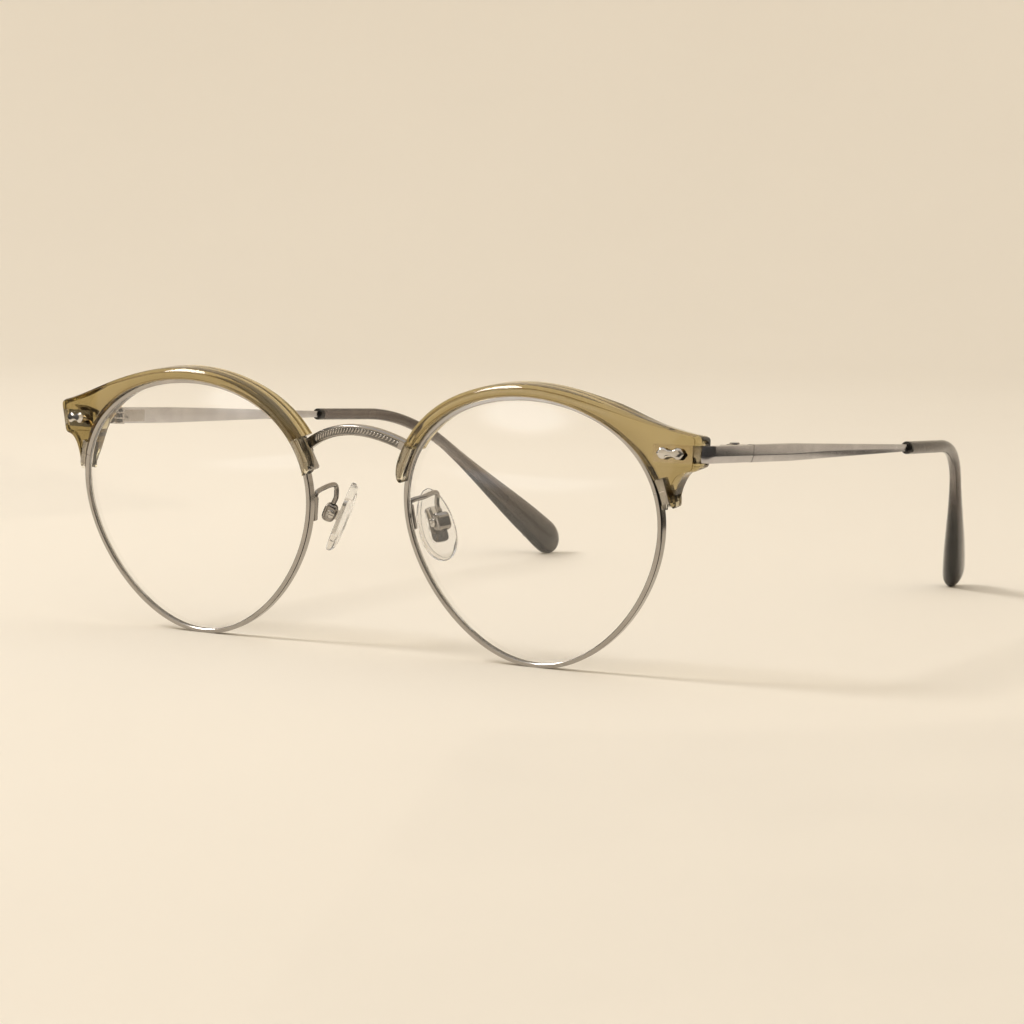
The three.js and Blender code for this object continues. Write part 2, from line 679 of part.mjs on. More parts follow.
function rivet() {
  const back = rivetReach() + SEAT;
  const end = RIVET_LENGTH / 2;
  const half = RIVET_WIDTH / 2;
  const waist = RIVET_WAIST / 2;
  const shoulder = end - RIVET_SHOULDER;
  const neck = end - RIVET_NECK;
  const shape = new THREE.Shape();
  shape.moveTo(-neck, -waist);
  shape.lineTo(neck, -waist);
  [[1, 1], [-1, -1]].forEach(([across, up]) => {
    shape.quadraticCurveTo(across * (neck + RIVET_POINT), -up * half, across * shoulder, -up * half);
    shape.quadraticCurveTo(across * (end - RIVET_POINT), -up * half, across * end, 0);
    shape.quadraticCurveTo(across * (end - RIVET_POINT), up * half, across * shoulder, up * half);
    shape.quadraticCurveTo(across * (neck + RIVET_POINT), up * half, across * neck, up * waist);
    shape.lineTo(-across * neck, up * waist);
  });
  const face = slab(shape, RIVET_PROUD).translate(0, 0, back);
  const pins = RIVET_PINS.map((x) => {
    return rod(RIVET_PIN_RADIUS, -BAR_THICKNESS / 2, back + RIVET_PROUD / 2).translate(x, 0, 0);
  });
  return placed(join(face, ...pins), rivetPlace);
}

// Bridge: a low arch with a foot on each rim

const BRIDGE_SPAN = NOSE_GAP / 2 + BRIDGE_OVERHANG;
const BRIDGE_Z = RIM_TOP - BRIDGE_DROP;

// Grown by a clearance and carried far back, the same arch makes its room in the brow
function bridgeArch(grow, back) {
  const front = -BRIDGE_DEPTH / 2 - grow;
  const top = BRIDGE_HEIGHT / 2 + grow;
  const profile = [
    [front, BRIDGE_CHAMFER - top],
    [front, top - BRIDGE_CHAMFER],
    [front + BRIDGE_CHAMFER, top],
    [back - BRIDGE_CHAMFER, top],
    [back, top - BRIDGE_CHAMFER],
    [back, BRIDGE_CHAMFER - top],
    [back - BRIDGE_CHAMFER, -top],
    [front + BRIDGE_CHAMFER, -top],
  ];
  const reach = BRIDGE_SPAN + grow;
  const sections = [];
  for (let i = 0; i <= BRIDGE_STEPS; i += 1) {
    const x = reach * ((2 * i) / BRIDGE_STEPS - 1);
    const share = (x / BRIDGE_SPAN) ** 2;
    const slope = Math.atan((-2 * BRIDGE_FALL * x) / BRIDGE_SPAN ** 2);
    const middle = new THREE.Vector3(x, BRIDGE_Y + BRIDGE_SWEEP * share, BRIDGE_Z - BRIDGE_FALL * share);
    sections.push(profile.map(([depth, rise]) => {
      return new THREE.Vector3(-Math.sin(slope) * rise, depth, Math.cos(slope) * rise).add(middle);
    }));
  }
  return loft(sections);
}

function bridge() {
  const reach = FOOT_HEIGHT / 2;
  const foot = box([RIM_OUT + SEAT, FOOT_OUT], [FOOT_FRONT, FOOT_BACK], [-reach, reach]);
  const hole = bore(BROW_SCREW_RADIUS + SEAT, 2 * (FOOT_FRONT - FOOT_BACK), FOOT_BACK);
  const leftFoot = placed(foot, footPlace);
  const leftHole = placed(hole, browScrewPlace);
  const whole = join(bridgeArch(0, BRIDGE_DEPTH / 2), leftFoot, mirrored(leftFoot));
  return cut(whole, leftHole, mirrored(leftHole));
}

function browScrew() {
  const reach = FOOT_BACK - FOOT_FRONT + BROW_SCREW_BITE;
  const body = screw(BROW_SCREW_RADIUS, reach, BROW_SCREW_HEAD, BROW_SCREW_HEAD_HEIGHT);
  return placed(body.translate(0, 0, SEAT), browScrewPlace);
}

// Temple: its line runs straight from the butt, bends down behind the ear and toes in

function templePoint(s) {
  const bend = radians(BEND_ANGLE);
  const turned = clamp((s - BEND_START) / BEND_RADIUS, 0, bend);
  const past = Math.max(0, s - BEND_START - BEND_RADIUS * bend);
  const run = Math.min(s, BEND_START) + BEND_RADIUS * Math.sin(turned) + past * Math.cos(bend);
  const fall = BEND_RADIUS * (1 - Math.cos(turned)) + past * Math.sin(bend);
  const ease = (toe) => (toe + Math.hypot(toe, TOE_EASE)) / 2;
  const inward = TOE_IN * (ease(s - TOE_START) - ease(-TOE_START));
  return new THREE.Vector3(-inward, run, -fall);
}

// A section across the temple's line from points given outward and upward
function templeSection(s, profile) {
  const step = 0.01;
  const centre = templePoint(s);
  const along = templePoint(s + step).sub(templePoint(s - step)).normalize();
  const outward = X_AXIS.clone().projectOnPlane(along).normalize();
  const upward = outward.clone().cross(along);
  return profile.map(([out, rise]) => {
    return centre.clone().addScaledVector(outward, out).addScaledVector(upward, rise);
  });
}

// Stations from one place on the line to another, closer together where it bends
function stations(from, to, spacing) {
  const count = Math.ceil((to - from) / spacing);
  return Array.from({ length: count + 1 }, (_, i) => lerp(from, to, i / count));
}

const CORE_END = TEMPLE_LENGTH - CORE_END_GAP;
const CORE_STATIONS = stations(SLEEVE_START, CORE_END, CORE_SPACING);
const PADDLE_FULL = TEMPLE_LENGTH - PADDLE_END;
const PADDLE_START = PADDLE_FULL - PADDLE_SWELL;

function barProfile(s, grow) {
  const taper = clamp((s - BAR_FULL_LENGTH) / (SLEEVE_START - BAR_FULL_LENGTH), 0, 1);
  const thickness = lerp(BAR_THICKNESS, BAR_END_THICKNESS, taper);
  const height = lerp(BAR_HEIGHT, BAR_END_HEIGHT, taper);
  return barSection(thickness + 2 * grow, height + 2 * grow);
}

function temple() {
  const straight = [BUTT_GAP / 2, BAR_FULL_LENGTH, (BAR_FULL_LENGTH + SLEEVE_START) / 2];
  return loft([...straight, ...CORE_STATIONS].map((s) => templeSection(s, barProfile(s, 0))));
}

// Temple tip: a clear sleeve on the temple's core that swells to a rounded paddle
function templeTip() {
  const profile = (s) => {
    const swell = smoothstep(s, PADDLE_START, PADDLE_FULL);
    const close = clamp((s - PADDLE_FULL) / PADDLE_END, 0, PADDLE_CLOSE_SHARE);
    const share = Math.sqrt(1 - close ** 2) / 2;
    const height = lerp(SLEEVE_HEIGHT, PADDLE_HEIGHT, swell) * share;
    const thickness = lerp(SLEEVE_THICKNESS, PADDLE_THICKNESS, swell) * share;
    return Array.from({ length: SLEEVE_SIDES }, (_, i) => {
      const angle = ((i + 0.5) * 2 * Math.PI) / SLEEVE_SIDES;
      return [thickness * Math.cos(angle), height * Math.sin(angle)];
    });
  };
  const rounding = stations(PADDLE_FULL, TEMPLE_LENGTH, PADDLE_END_SPACING).slice(1);
  const body = [...stations(SLEEVE_START, PADDLE_FULL, SLEEVE_SPACING), ...rounding];
  const sleeve = loft(body.map((s) => templeSection(s, profile(s))));
  const room = [SLEEVE_START - SEAT, ...CORE_STATIONS.slice(1, -1), CORE_END + SEAT];
  return cut(sleeve, loft(room.map((s) => templeSection(s, barProfile(s, SEAT)))));
}

// Hinge: two knuckles on the endpiece, one on the temple, and the screw that they turn on

const LEAF_OUT = -BAR_THICKNESS / 2 - SEAT;
const LEAF_IN = LEAF_OUT - LEAF_THICKNESS;
const TIER = STRAP_HEIGHT / 6;
const hingePlace = new THREE.Matrix4().makeTranslation(LEAF_OUT - KNUCKLE_RADIUS, -HINGE_FORWARD, 0);

function frontHinge() {
  const half = STRAP_HEIGHT / 2;
  const leaf = box([LEAF_IN, LEAF_OUT], [-FRONT_LEAF_LENGTH, -BUTT_GAP / 2], [-half, half]);
  const barrel = placed(rod(KNUCKLE_RADIUS, -half, half), hingePlace);
  const room = KNUCKLE_RADIUS + KNUCKLE_GAP;
  const slot = box([-3 * room, room], [-room, 3 * room], [-TIER - KNUCKLE_GAP, TIER + KNUCKLE_GAP]);
  const hole = bore(HINGE_SCREW_RADIUS + SEAT, -STRAP_HEIGHT, STRAP_HEIGHT);
  return cut(join(leaf, barrel), placed(slot, hingePlace), placed(hole, hingePlace));
}

function templeHinge() {
  const half = BAR_HEIGHT / 2 - BAR_BEVEL_INSET;
  const leaf = box([LEAF_IN, LEAF_OUT], [BUTT_GAP / 2, TEMPLE_LEAF_LENGTH], [-half, half]);
  const web = box([LEAF_IN, LEAF_OUT], [-HINGE_FORWARD, BUTT_GAP], [-TIER, TIER]);
  const barrel = placed(rod(KNUCKLE_RADIUS, -TIER, TIER), hingePlace);
  const hole = bore(HINGE_SCREW_RADIUS + RUNNING, -STRAP_HEIGHT, STRAP_HEIGHT);
  return cut(join(leaf, web, barrel), placed(hole, hingePlace));
}

function hingeScrew() {
  const body = screw(HINGE_SCREW_RADIUS, STRAP_HEIGHT, HINGE_HEAD_RADIUS, HINGE_HEAD_HEIGHT);
  return placed(body.translate(0, 0, STRAP_HEIGHT / 2 + SEAT), hingePlace);
}

// Nose pad assembly. Its axes: X from front to back across the pad, Y up along it, Z away from the nose

const padAcross = new THREE.Vector3(Math.sin(radians(PAD_SPLAY)), Math.cos(radians(PAD_SPLAY)), 0);
const padUp = new THREE.Vector3(-Math.sin(radians(PAD_LEAN)), 0, Math.cos(radians(PAD_LEAN)));
padUp.projectOnPlane(padAcross).normalize();
const padPlace = new THREE.Matrix4().makeBasis(padAcross, padUp, padAcross.clone().cross(padUp));
padPlace.setPosition(NOSE_GAP / 2 + PAD_OUT, PAD_Y, RIM_TOP - PAD_DROP);

// Turns a slab drawn in Y and Z so that its depth runs along X, about its middle
function acrossPad(shape, depth) {
  const turn = new THREE.Matrix4().makeBasis(Y_AXIS, Z_AXIS, X_AXIS);
  return placed(slab(shape, depth).translate(0, 0, -depth / 2), turn);
}

function padBore(radius) {
  return bore(radius, -PAD_WIDTH, PAD_WIDTH).rotateY(Math.PI / 2).translate(0, 0, PAD_AXIS_HEIGHT);
}

const CORE_FLOOR = PAD_OUTER_SIDE - CORE_THICKNESS;
const CUP_ROOF = PAD_AXIS_HEIGHT + LUG_RADIUS + 2 * SEAT;
const CUP_TOP = CUP_ROOF + CUP_BASE;
const CUP_HALF = LUG_WIDTH / 2 + SEAT + CUP_WALL;

function nosePad() {
  const ring = (share, z) => Array.from({ length: PAD_SIDES }, (_, i) => {
    const angle = (2 * Math.PI * i) / PAD_SIDES;
    const x = (PAD_WIDTH / 2) * Math.cos(angle) * (1 - PAD_TEARDROP * Math.sin(angle));
    return new THREE.Vector3(x * share, (PAD_LENGTH / 2) * Math.sin(angle) * share, z);
  });
  const pad = loft([
    ring(PAD_FLAT_SHARE, -PAD_NOSE_SIDE),
    ring(PAD_CROWN_SHARE, -PAD_NOSE_SIDE * PAD_CROWN_DEPTH),
    ring(1, 0),
    ring(PAD_EDGE_SHARE, PAD_OUTER_SIDE * PAD_EDGE_DEPTH),
    ring(PAD_REAR_SHARE, PAD_OUTER_SIDE),
  ]);
  const room = roundedRectangle(CORE_WIDTH + 2 * SEAT, CORE_LENGTH + 2 * SEAT, CORE_WIDTH / 3 + SEAT);
  return placed(cut(pad, slab(room, 2 * CORE_THICKNESS).translate(0, 0, CORE_FLOOR - SEAT)), padPlace);
}

function padCore() {
  const plate = slab(roundedRectangle(CORE_WIDTH, CORE_LENGTH, CORE_WIDTH / 3), CORE_THICKNESS);
  plate.translate(0, 0, CORE_FLOOR);
  const shape = new THREE.Shape();
  shape.moveTo(-LUG_RADIUS, CORE_FLOOR + CORE_THICKNESS / 2);
  shape.lineTo(LUG_RADIUS, CORE_FLOOR + CORE_THICKNESS / 2);
  shape.absarc(0, PAD_AXIS_HEIGHT, LUG_RADIUS, 0, Math.PI);
  const lug = acrossPad(shape, LUG_WIDTH);
  return placed(cut(join(plate, lug), padBore(PAD_SCREW_RADIUS + RUNNING)), padPlace);
}

function padCup() {
  const middle = (CUP_FOOT + CUP_TOP) / 2;
  const block = acrossPad(roundedRectangle(CUP_LENGTH, CUP_TOP - CUP_FOOT, CUP_ROUND), 2 * CUP_HALF);
  block.translate(0, 0, middle);
  const inner = LUG_WIDTH / 2 + SEAT;
  const slot = box([-inner, inner], [-CUP_LENGTH, CUP_LENGTH], [0, CUP_ROOF]);
  return placed(cut(block, slot, padBore(PAD_SCREW_RADIUS + SEAT)), padPlace);
}

function padScrew() {
  const body = screw(PAD_SCREW_RADIUS, 2 * CUP_HALF, PAD_SCREW_HEAD, PAD_SCREW_HEAD_HEIGHT);
  body.rotateY(-Math.PI / 2).translate(-CUP_HALF - SEAT, 0, PAD_AXIS_HEIGHT);
  return placed(body, padPlace);
}

// Pad arm: a wire from a shoe on the rim's back, up and over to the cup
function padArm() {
  const shoePlace = rimPlace(ARM_ANGLE);
  const shoeBack = RIM_BACK + SEAT + ARM_SHOE_DEPTH;
  const lay = new THREE.Matrix4().makeBasis(X_AXIS, Z_AXIS, Y_AXIS.clone().negate());
  const outline = roundedRectangle(RIM_WALL, ARM_SHOE_HEIGHT, RIM_WALL / 2 - SEAT);
  const shoe = placed(placed(slab(outline, ARM_SHOE_DEPTH), lay.setPosition(0, shoeBack, 0)), shoePlace);
  const onShoe = (up) => new THREE.Vector3(0, shoeBack - ARM_SHOE_DEPTH / 2, -up).applyMatrix4(shoePlace);
  const onCup = (up) => new THREE.Vector3(0, up, (CUP_FOOT + CUP_TOP) / 2).applyMatrix4(padPlace);
  const archX = NOSE_GAP / 2 + ARM_ARCH_OUT;
  const archZ = RIM_TOP - ARM_ARCH_DROP;
  const route = new THREE.CatmullRomCurve3([
    onShoe(ARM_SHOE_HEIGHT / 6),
    onShoe(ARM_SHOE_HEIGHT / 2 + ARM_RADIUS),
    new THREE.Vector3(archX, ARM_ARCH_FRONT, archZ),
    new THREE.Vector3(archX, ARM_ARCH_BACK, archZ),
    onCup(CUP_LENGTH),
    onCup(CUP_LENGTH / 2 + SEAT),
  ]);
  const round = new THREE.Shape().absarc(0, 0, ARM_RADIUS, 0, 2 * Math.PI);
  const wire = new THREE.ExtrudeGeometry(round, {
    steps: ARM_STEPS,
    extrudePath: route,
    bevelEnabled: false,
    curveSegments: ARM_SIDES,
  });
  return join(shoe, wire);
}

// Finishes

const gunmetal = () => new THREE.MeshStandardMaterial({ color: 0x8b8680, roughness: 0.34, metalness: 1 });
const steel = () => new THREE.MeshStandardMaterial({ color: 0xb9b6b0, roughness: 0.25, metalness: 1 });
const acetate = () => new THREE.MeshStandardMaterial({ color: 0xa08a55, roughness: 0.15, metalness: 0 });
const sleeveGrey = () => new THREE.MeshStandardMaterial({ color: 0x4f4a3f, roughness: 0.2, metalness: 0 });
const clear = () => new THREE.MeshStandardMaterial({ color: 0xeceae4, roughness: 0.05, metalness: 0 });

function piece(name, geometry, material) {
  const mesh = new THREE.Mesh(geometry, material);
  mesh.name = name;
  return mesh;
}

// Assembly: one set of pieces for the wearer's left, mirrored for the right

function group(place, ...children) {
  const holder = new THREE.Group();
  holder.applyMatrix4(place);
  if (children.length > 0) holder.add(...children);
  return holder;
}

function frontPieces(side) {
  return [
    piece(`rim_${side}`, rim(), gunmetal()),
    piece(`lens_${side}`, lens(), clear()),
    piece(`rim_lock_screw_${side}`, rimLockScrew(), steel()),
    piece(`brow_${side}`, brow(), acetate()),
    piece(`brow_screw_${side}`, browScrew(), steel()),
    piece(`pad_arm_${side}`, padArm(), gunmetal()),
    piece(`pad_cup_${side}`, padCup(), gunmetal()),
    piece(`pad_screw_${side}`, padScrew(), steel()),
    piece(`pad_core_${side}`, padCore(), steel()),
    piece(`nose_pad_${side}`, nosePad(), clear()),
  ];
}

function templePieces(side) {
  return [
    piece(`endpiece_${side}`, endpiece(), gunmetal()),
    piece(`brow_rivet_${side}`, rivet(), steel()),
    piece(`front_hinge_${side}`, frontHinge(), gunmetal()),
    piece(`hinge_screw_${side}`, hingeScrew(), steel()),
    piece(`temple_hinge_${side}`, templeHinge(), gunmetal()),
    piece(`temple_${side}`, temple(), gunmetal()),
    piece(`temple_tip_${side}`, templeTip(), sleeveGrey()),
  ];
}

const glasses = new THREE.Group();
glasses.add(group(frontPlace, piece('bridge', bridge(), gunmetal())));
[['left', 1], ['right', -1]].forEach(([side, sign]) => {
  const half = new THREE.Group();
  half.scale.x = sign;
  half.add(group(frontPlace, ...frontPieces(side)), group(templePlace, ...templePieces(side)));
  glasses.add(half);
});

// The origin is under the middle of the open glasses, on the table
const extent = new THREE.Box3().setFromObject(glasses, true);
const middle = extent.getCenter(new THREE.Vector3());
glasses.position.set(-middle.x, -middle.y, -extent.min.z);

export default glasses;
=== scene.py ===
# %% [markdown]
# Round browline eyeglasses
#
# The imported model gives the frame: where each piece sits and which body it moves with.
# This lesson remodels the pieces finely in that frame and gives each its finish.

# %% Load the frame
import json
import math

import bmesh
import bpy
from mathutils import Matrix, Vector


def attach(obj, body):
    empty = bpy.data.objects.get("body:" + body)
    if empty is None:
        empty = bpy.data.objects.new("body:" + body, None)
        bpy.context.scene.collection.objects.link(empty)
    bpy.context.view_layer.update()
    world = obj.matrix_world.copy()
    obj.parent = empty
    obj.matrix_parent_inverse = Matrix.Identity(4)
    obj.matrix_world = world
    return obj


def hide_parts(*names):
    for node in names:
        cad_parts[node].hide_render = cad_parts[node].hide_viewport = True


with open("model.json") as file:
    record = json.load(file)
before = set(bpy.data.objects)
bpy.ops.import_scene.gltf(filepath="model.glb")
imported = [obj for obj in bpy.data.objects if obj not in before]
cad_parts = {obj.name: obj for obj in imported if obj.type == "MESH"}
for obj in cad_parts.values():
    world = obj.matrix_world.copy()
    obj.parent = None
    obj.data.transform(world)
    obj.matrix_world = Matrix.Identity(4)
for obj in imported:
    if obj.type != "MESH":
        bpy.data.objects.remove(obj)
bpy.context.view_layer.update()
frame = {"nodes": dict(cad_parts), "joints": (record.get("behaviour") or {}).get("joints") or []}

# %% [markdown]
# Two places carry all the work. The front of the glasses leans forward, and each temple drops a little as
# it runs back. Both are found from the joint that the left temple turns on, so the pieces land where the
# frame has them. Modelled straight in the frame, every piece would lie at a slant. So pieces are made
# upright, in millimetres, in one of these places, and brought into the frame, in metres, when they are
# done.

# %% Places of the front and of the left temple
MM = 0.001
FRONT_TILT = math.radians(6)
TEMPLE_DROP = math.radians(2.7)
HINGE_IN_TEMPLE = Vector((-2.01, -2.0, 0.0))
BUTT_IN_FRONT = Vector((67.0, 18.1, 35.42))

fold = next(joint for joint in frame["joints"] if joint["name"] == "temple_fold_left")
TEMPLE = Matrix.Translation(fold["pos_m"]) @ Matrix.Rotation(-TEMPLE_DROP, 4, "X") @ Matrix.Scale(MM, 4)
TEMPLE = TEMPLE @ Matrix.Translation(-HINGE_IN_TEMPLE)
FRONT = Matrix.Rotation(FRONT_TILT, 4, "X") @ Matrix.Scale(MM, 4)
FRONT = Matrix.Translation(TEMPLE.translation - FRONT @ BUTT_IN_FRONT) @ FRONT
print("front origin, mm:", [round(v / MM, 3) for v in FRONT.translation])

# %% [markdown]
# The photograph was taken from a little above the table, from the wearer's left. A wide lens close by
# would swell the nearer rim, so a long one from half a metre away gives the same mild perspective.

# %% Camera
VIEW_AZIMUTH = math.radians(31.085)
VIEW_ELEVATION = math.radians(5.822)
VIEW_ROLL = math.radians(0.788)
VIEW_DISTANCE = 515.86 * MM
VIEW_AIM = Vector((20.28, -55.705, 24.23)) * MM
FOCAL_LENGTH = 103.33
SENSOR = 36.0
NEAREST_SEEN = 0.01


def add_camera():
    data = bpy.data.cameras.new("photo_camera")
    data.sensor_width = SENSOR
    data.lens = FOCAL_LENGTH
    data.clip_start = NEAREST_SEEN
    camera = bpy.data.objects.new("photo_camera", data)
    bpy.context.scene.collection.objects.link(camera)
    turn = Matrix.Rotation(VIEW_AZIMUTH, 4, "Z") @ Matrix.Rotation(math.pi / 2 - VIEW_ELEVATION, 4, "X")
    turn = turn @ Matrix.Rotation(VIEW_ROLL, 4, "Z")
    camera.matrix_world = Matrix.Translation(VIEW_AIM) @ turn @ Matrix.Translation((0, 0, VIEW_DISTANCE))
    bpy.context.scene.camera = camera
    return camera


camera = add_camera()
print("camera at", [round(v, 3) for v in camera.matrix_world.translation])

# %% [markdown]
# Operators work on whatever is selected, and the frame's own pieces are still selected after loading.
# So each modelling move first clears the selection and then chooses one piece.


# %% Choosing and naming
def deselect():
    if bpy.context.mode != "OBJECT":
        bpy.ops.object.mode_set(mode="OBJECT")
    bpy.ops.object.select_all(action="DESELECT")


def choose(piece):
    deselect()
    piece.select_set(True)
    bpy.context.view_layer.objects.active = piece
    return piece


def named(name):
    piece = bpy.context.object
    piece.name = name
    piece.data.name = name
    return piece


deselect()
print("selected now:", len(bpy.context.selected_objects), "pieces")

# %% [markdown]
# Most pieces here are lofts: a skin drawn over a row of sections, as a hull is over its ribs. A curve
# with a bevel would be quicker, but its section couldn't change shape on the way. A loft starts as a
# circle whose points are moved to the first section. The ring is extruded from section to section, and at
# last its two ends are filled, or joined to each other.

# %% Lofts
MERGE = 1e-4


def settle(piece, ring, numbers=None):
    """Moves the selected ring of vertices to the points of the next section."""
    mesh = bmesh.from_edit_mesh(piece.data)
    placed = {}
    for vertex in mesh.verts:
        if vertex.select:
            number = vertex.index if numbers is None else numbers[vertex.co.to_tuple()]
            vertex.co = ring[number]
            placed[vertex.co.to_tuple()] = number
    bmesh.update_edit_mesh(piece.data)
    return placed


def loft(name, rings, looped=False):
    """A closed skin through rings of equal point count, capped or joined end to end."""
    deselect()
    bpy.ops.mesh.primitive_circle_add(vertices=len(rings[0]), radius=1)
    piece = named(name)
    bpy.ops.object.mode_set(mode="EDIT")
    bpy.ops.mesh.select_all(action="SELECT")
    numbers = settle(piece, rings[0])
    for ring in rings[1:] + rings[:1] * looped:
        bpy.ops.mesh.extrude_region_move()
        numbers = settle(piece, ring, numbers)
    bpy.ops.mesh.select_all(action="SELECT")
    if looped:
        bpy.ops.mesh.remove_doubles(threshold=MERGE)
    else:
        bpy.ops.mesh.fill_holes(sides=0)
    bpy.ops.mesh.normals_make_consistent(inside=False)
    bpy.ops.object.mode_set(mode="OBJECT")
    return piece


print("lofts merge points within", MERGE, "mm")

# %% [markdown]
# Locks, feet and holes start as plain boxes and round bars. They are made about their own origin, where
# their sizes are easy to think of, and then moved to their place on the glasses. Applying the move leaves
# the object at the origin, with its place in its mesh.

# %% Blocks, rods and moves
ROD_SIDES = 48


def block(name, low, high):
    deselect()
    low, high = Vector(low), Vector(high)
    bpy.ops.mesh.primitive_cube_add(size=1, location=(low + high) / 2)
    piece = named(name)
    piece.scale = high - low
    bpy.ops.object.transform_apply()
    return piece


def rod(name, radius, low, high):
    """A round bar along Z from low to high."""
    deselect()
    bpy.ops.mesh.primitive_cylinder_add(
        vertices=ROD_SIDES, radius=radius, depth=high - low, location=(0, 0, (low + high) / 2)
    )
    piece = named(name)
    bpy.ops.object.transform_apply()
    return piece


def move(piece, place):
    choose(piece)
    piece.matrix_world = place @ piece.matrix_world
    bpy.ops.object.transform_apply()
    return piece


print("rods have", ROD_SIDES, "sides")

# %% [markdown]
# Boolean modifiers join and cut. The exact solver is slower than the fast one, but it copes with faces
# that touch. The tool is applied and then deleted. A tool that has a finish of its own leaves it on the
# faces that it makes, which is how a scored line or a lined channel gets its tone.


# %% Joining and cutting
def shape_with(piece, tools, operation):
    for tool in tools:
        change = piece.modifiers.new(operation.lower(), "BOOLEAN")
        change.operation = operation
        change.solver = "EXACT"
        change.object = tool
        if tool.data.materials:
            change.material_mode = "TRANSFER"
        choose(piece)
        bpy.ops.object.modifier_apply(modifier=change.name)
        bpy.data.objects.remove(tool)
    return piece


def cut(piece, *tools):
    return shape_with(piece, tools, "DIFFERENCE")


def weld(piece, *parts):
    return shape_with(piece, parts, "UNION")


print("tools:", cut.__name__, "and", weld.__name__)

# %% [markdown]
# No real edge is perfectly sharp. Smooth shading keeps the curved faces even, and a narrow bevel along
# the sharp edges catches the light, as the edges of plated and polished pieces do. Joining and cutting
# leave slivers on flat faces, so these are cleaned up before the bevel.

# %% Smooth faces and soft edges
FLAT_ANGLE, SHARP_ANGLE = math.radians(0.5), math.radians(35)


def smooth(piece, angle=30):
    choose(piece)
    bpy.ops.object.shade_smooth_by_angle(angle=math.radians(angle))
    return piece


def soften(piece, width, segments=2):
    """Cleans up flat faces, rounds the sharp edges a little and shades the rest smooth."""
    choose(piece)
    bpy.ops.object.mode_set(mode="EDIT")
    bpy.ops.mesh.select_all(action="SELECT")
    bpy.ops.mesh.remove_doubles(threshold=MERGE)
    bpy.ops.mesh.dissolve_limited(angle_limit=FLAT_ANGLE)
    bpy.ops.object.mode_set(mode="OBJECT")
    edge = piece.modifiers.new("edge", "BEVEL")
    edge.width = width
    edge.segments = segments
    edge.limit_method = "ANGLE"
    edge.angle_limit = SHARP_ANGLE
    bpy.ops.object.modifier_apply(modifier=edge.name)
    return smooth(piece)


print("edges are softened past", round(math.degrees(SHARP_ANGLE)), "degrees")

# %% [markdown]
# Finishes share two effects. Fine grain is the texture that polishing and brushing leave, and handling
# marks are the broad soft patches where a surface is a little duller. Both are node groups that turn a
# place on the piece into a value, and each finish sets its own size and strength. They use noise and no
# picture, so no seam shows on any shape.


# %% Shared effects
def add_node(tree, kind, values=None):
    """A new node with some of its inputs set."""
    node = tree.nodes.new(kind)
    for socket, value in (values or {}).items():
        node.inputs[socket].default_value = value
    return node


def link(tree, source, output, target, entry):
    tree.links.new(source.outputs[output], target.inputs[entry])


def value_group(name, detail, low_edge, high_edge):
    """Noise over the surface: its height, and a value that it spreads from Low to High."""
    group = bpy.data.node_groups.new(name, "ShaderNodeTree")
    group.interface.new_socket("Place", in_out="INPUT", socket_type="NodeSocketVector")
    for socket in ("Scale", "Low", "High"):
        group.interface.new_socket(socket, in_out="INPUT", socket_type="NodeSocketFloat")
    for socket in ("Value", "Height"):
        group.interface.new_socket(socket, in_out="OUTPUT", socket_type="NodeSocketFloat")
    source = add_node(group, "NodeGroupInput")
    result = add_node(group, "NodeGroupOutput")
    noise = add_node(group, "ShaderNodeTexNoise", {"Detail": detail})
    spread = add_node(group, "ShaderNodeMapRange", {"From Min": low_edge, "From Max": high_edge})
    link(group, source, "Place", noise, "Vector")
    link(group, source, "Scale", noise, "Scale")
    link(group, noise, "Fac", spread, "Value")
    link(group, source, "Low", spread, "To Min")
    link(group, source, "High", spread, "To Max")
    link(group, spread, "Result", result, "Value")
    link(group, noise, "Fac", result, "Height")
    return group


fine_grain = value_group("fine_grain", 4.0, 0.3, 0.7)
handling_marks = value_group("handling_marks", 1.5, 0.45, 0.7)
print("effects:", fine_grain.name, handling_marks.name)

# %% [markdown]
# A finish starts as Blender's Principled shader. The shared effects are placed in it on Object
# coordinates, which stay with the piece when it moves, and they steer its roughness and its colour.


# %% Finish helpers
def finish(name):
    material = bpy.data.materials.new(name)
    material.use_nodes = True
    return material


def shader_of(material):
    return material.node_tree.nodes["Principled BSDF"]


def effect(material, group, scale, low, high, stretch=(1, 1, 1)):
    """Places a shared effect in a finish, on the piece's own coordinates."""
    tree = material.node_tree
    place = add_node(tree, "ShaderNodeTexCoord")
    stretched = add_node(tree, "ShaderNodeMapping", {"Scale": stretch})
    node = add_node(tree, "ShaderNodeGroup")
    node.node_tree = group
    for socket, value in (("Scale", scale), ("Low", low), ("High", high)):
        node.inputs[socket].default_value = value
    link(tree, place, "Object", stretched, "Vector")
    link(tree, stretched, "Vector", node, "Place")
    return node


def roughened(material, node):
    """Roughness by the value of an effect."""
    link(material.node_tree, node, "Value", shader_of(material), "Roughness")


def tinted(material, value, dark, light):
    """Base colour between two tones, by a value over the surface."""
    tree = material.node_tree
    ramp = add_node(tree, "ShaderNodeValToRGB")
    ramp.color_ramp.elements[0].color = (*dark, 1)
    ramp.color_ramp.elements[1].color = (*light, 1)
    tree.links.new(value, ramp.inputs["Fac"])
    link(tree, ramp, "Color", shader_of(material), "Base Color")
    return ramp


print("finish helpers:", effect.__name__, roughened.__name__, tinted.__name__)

# %% [markdown]
# The rims, bridge and hinges are plated satin gunmetal: a warm grey metal, brushed so finely that
# reflections spread without showing single lines. The straps and temple bars are brushed lengthwise, the
# pad wires are polished, and screws and rivets are brighter steel. Three tones are only for small places:
# the scored line of the rims, the bridge's channel and the lining behind the rivet. One function makes
# them all, because only tone, roughness and direction differ.

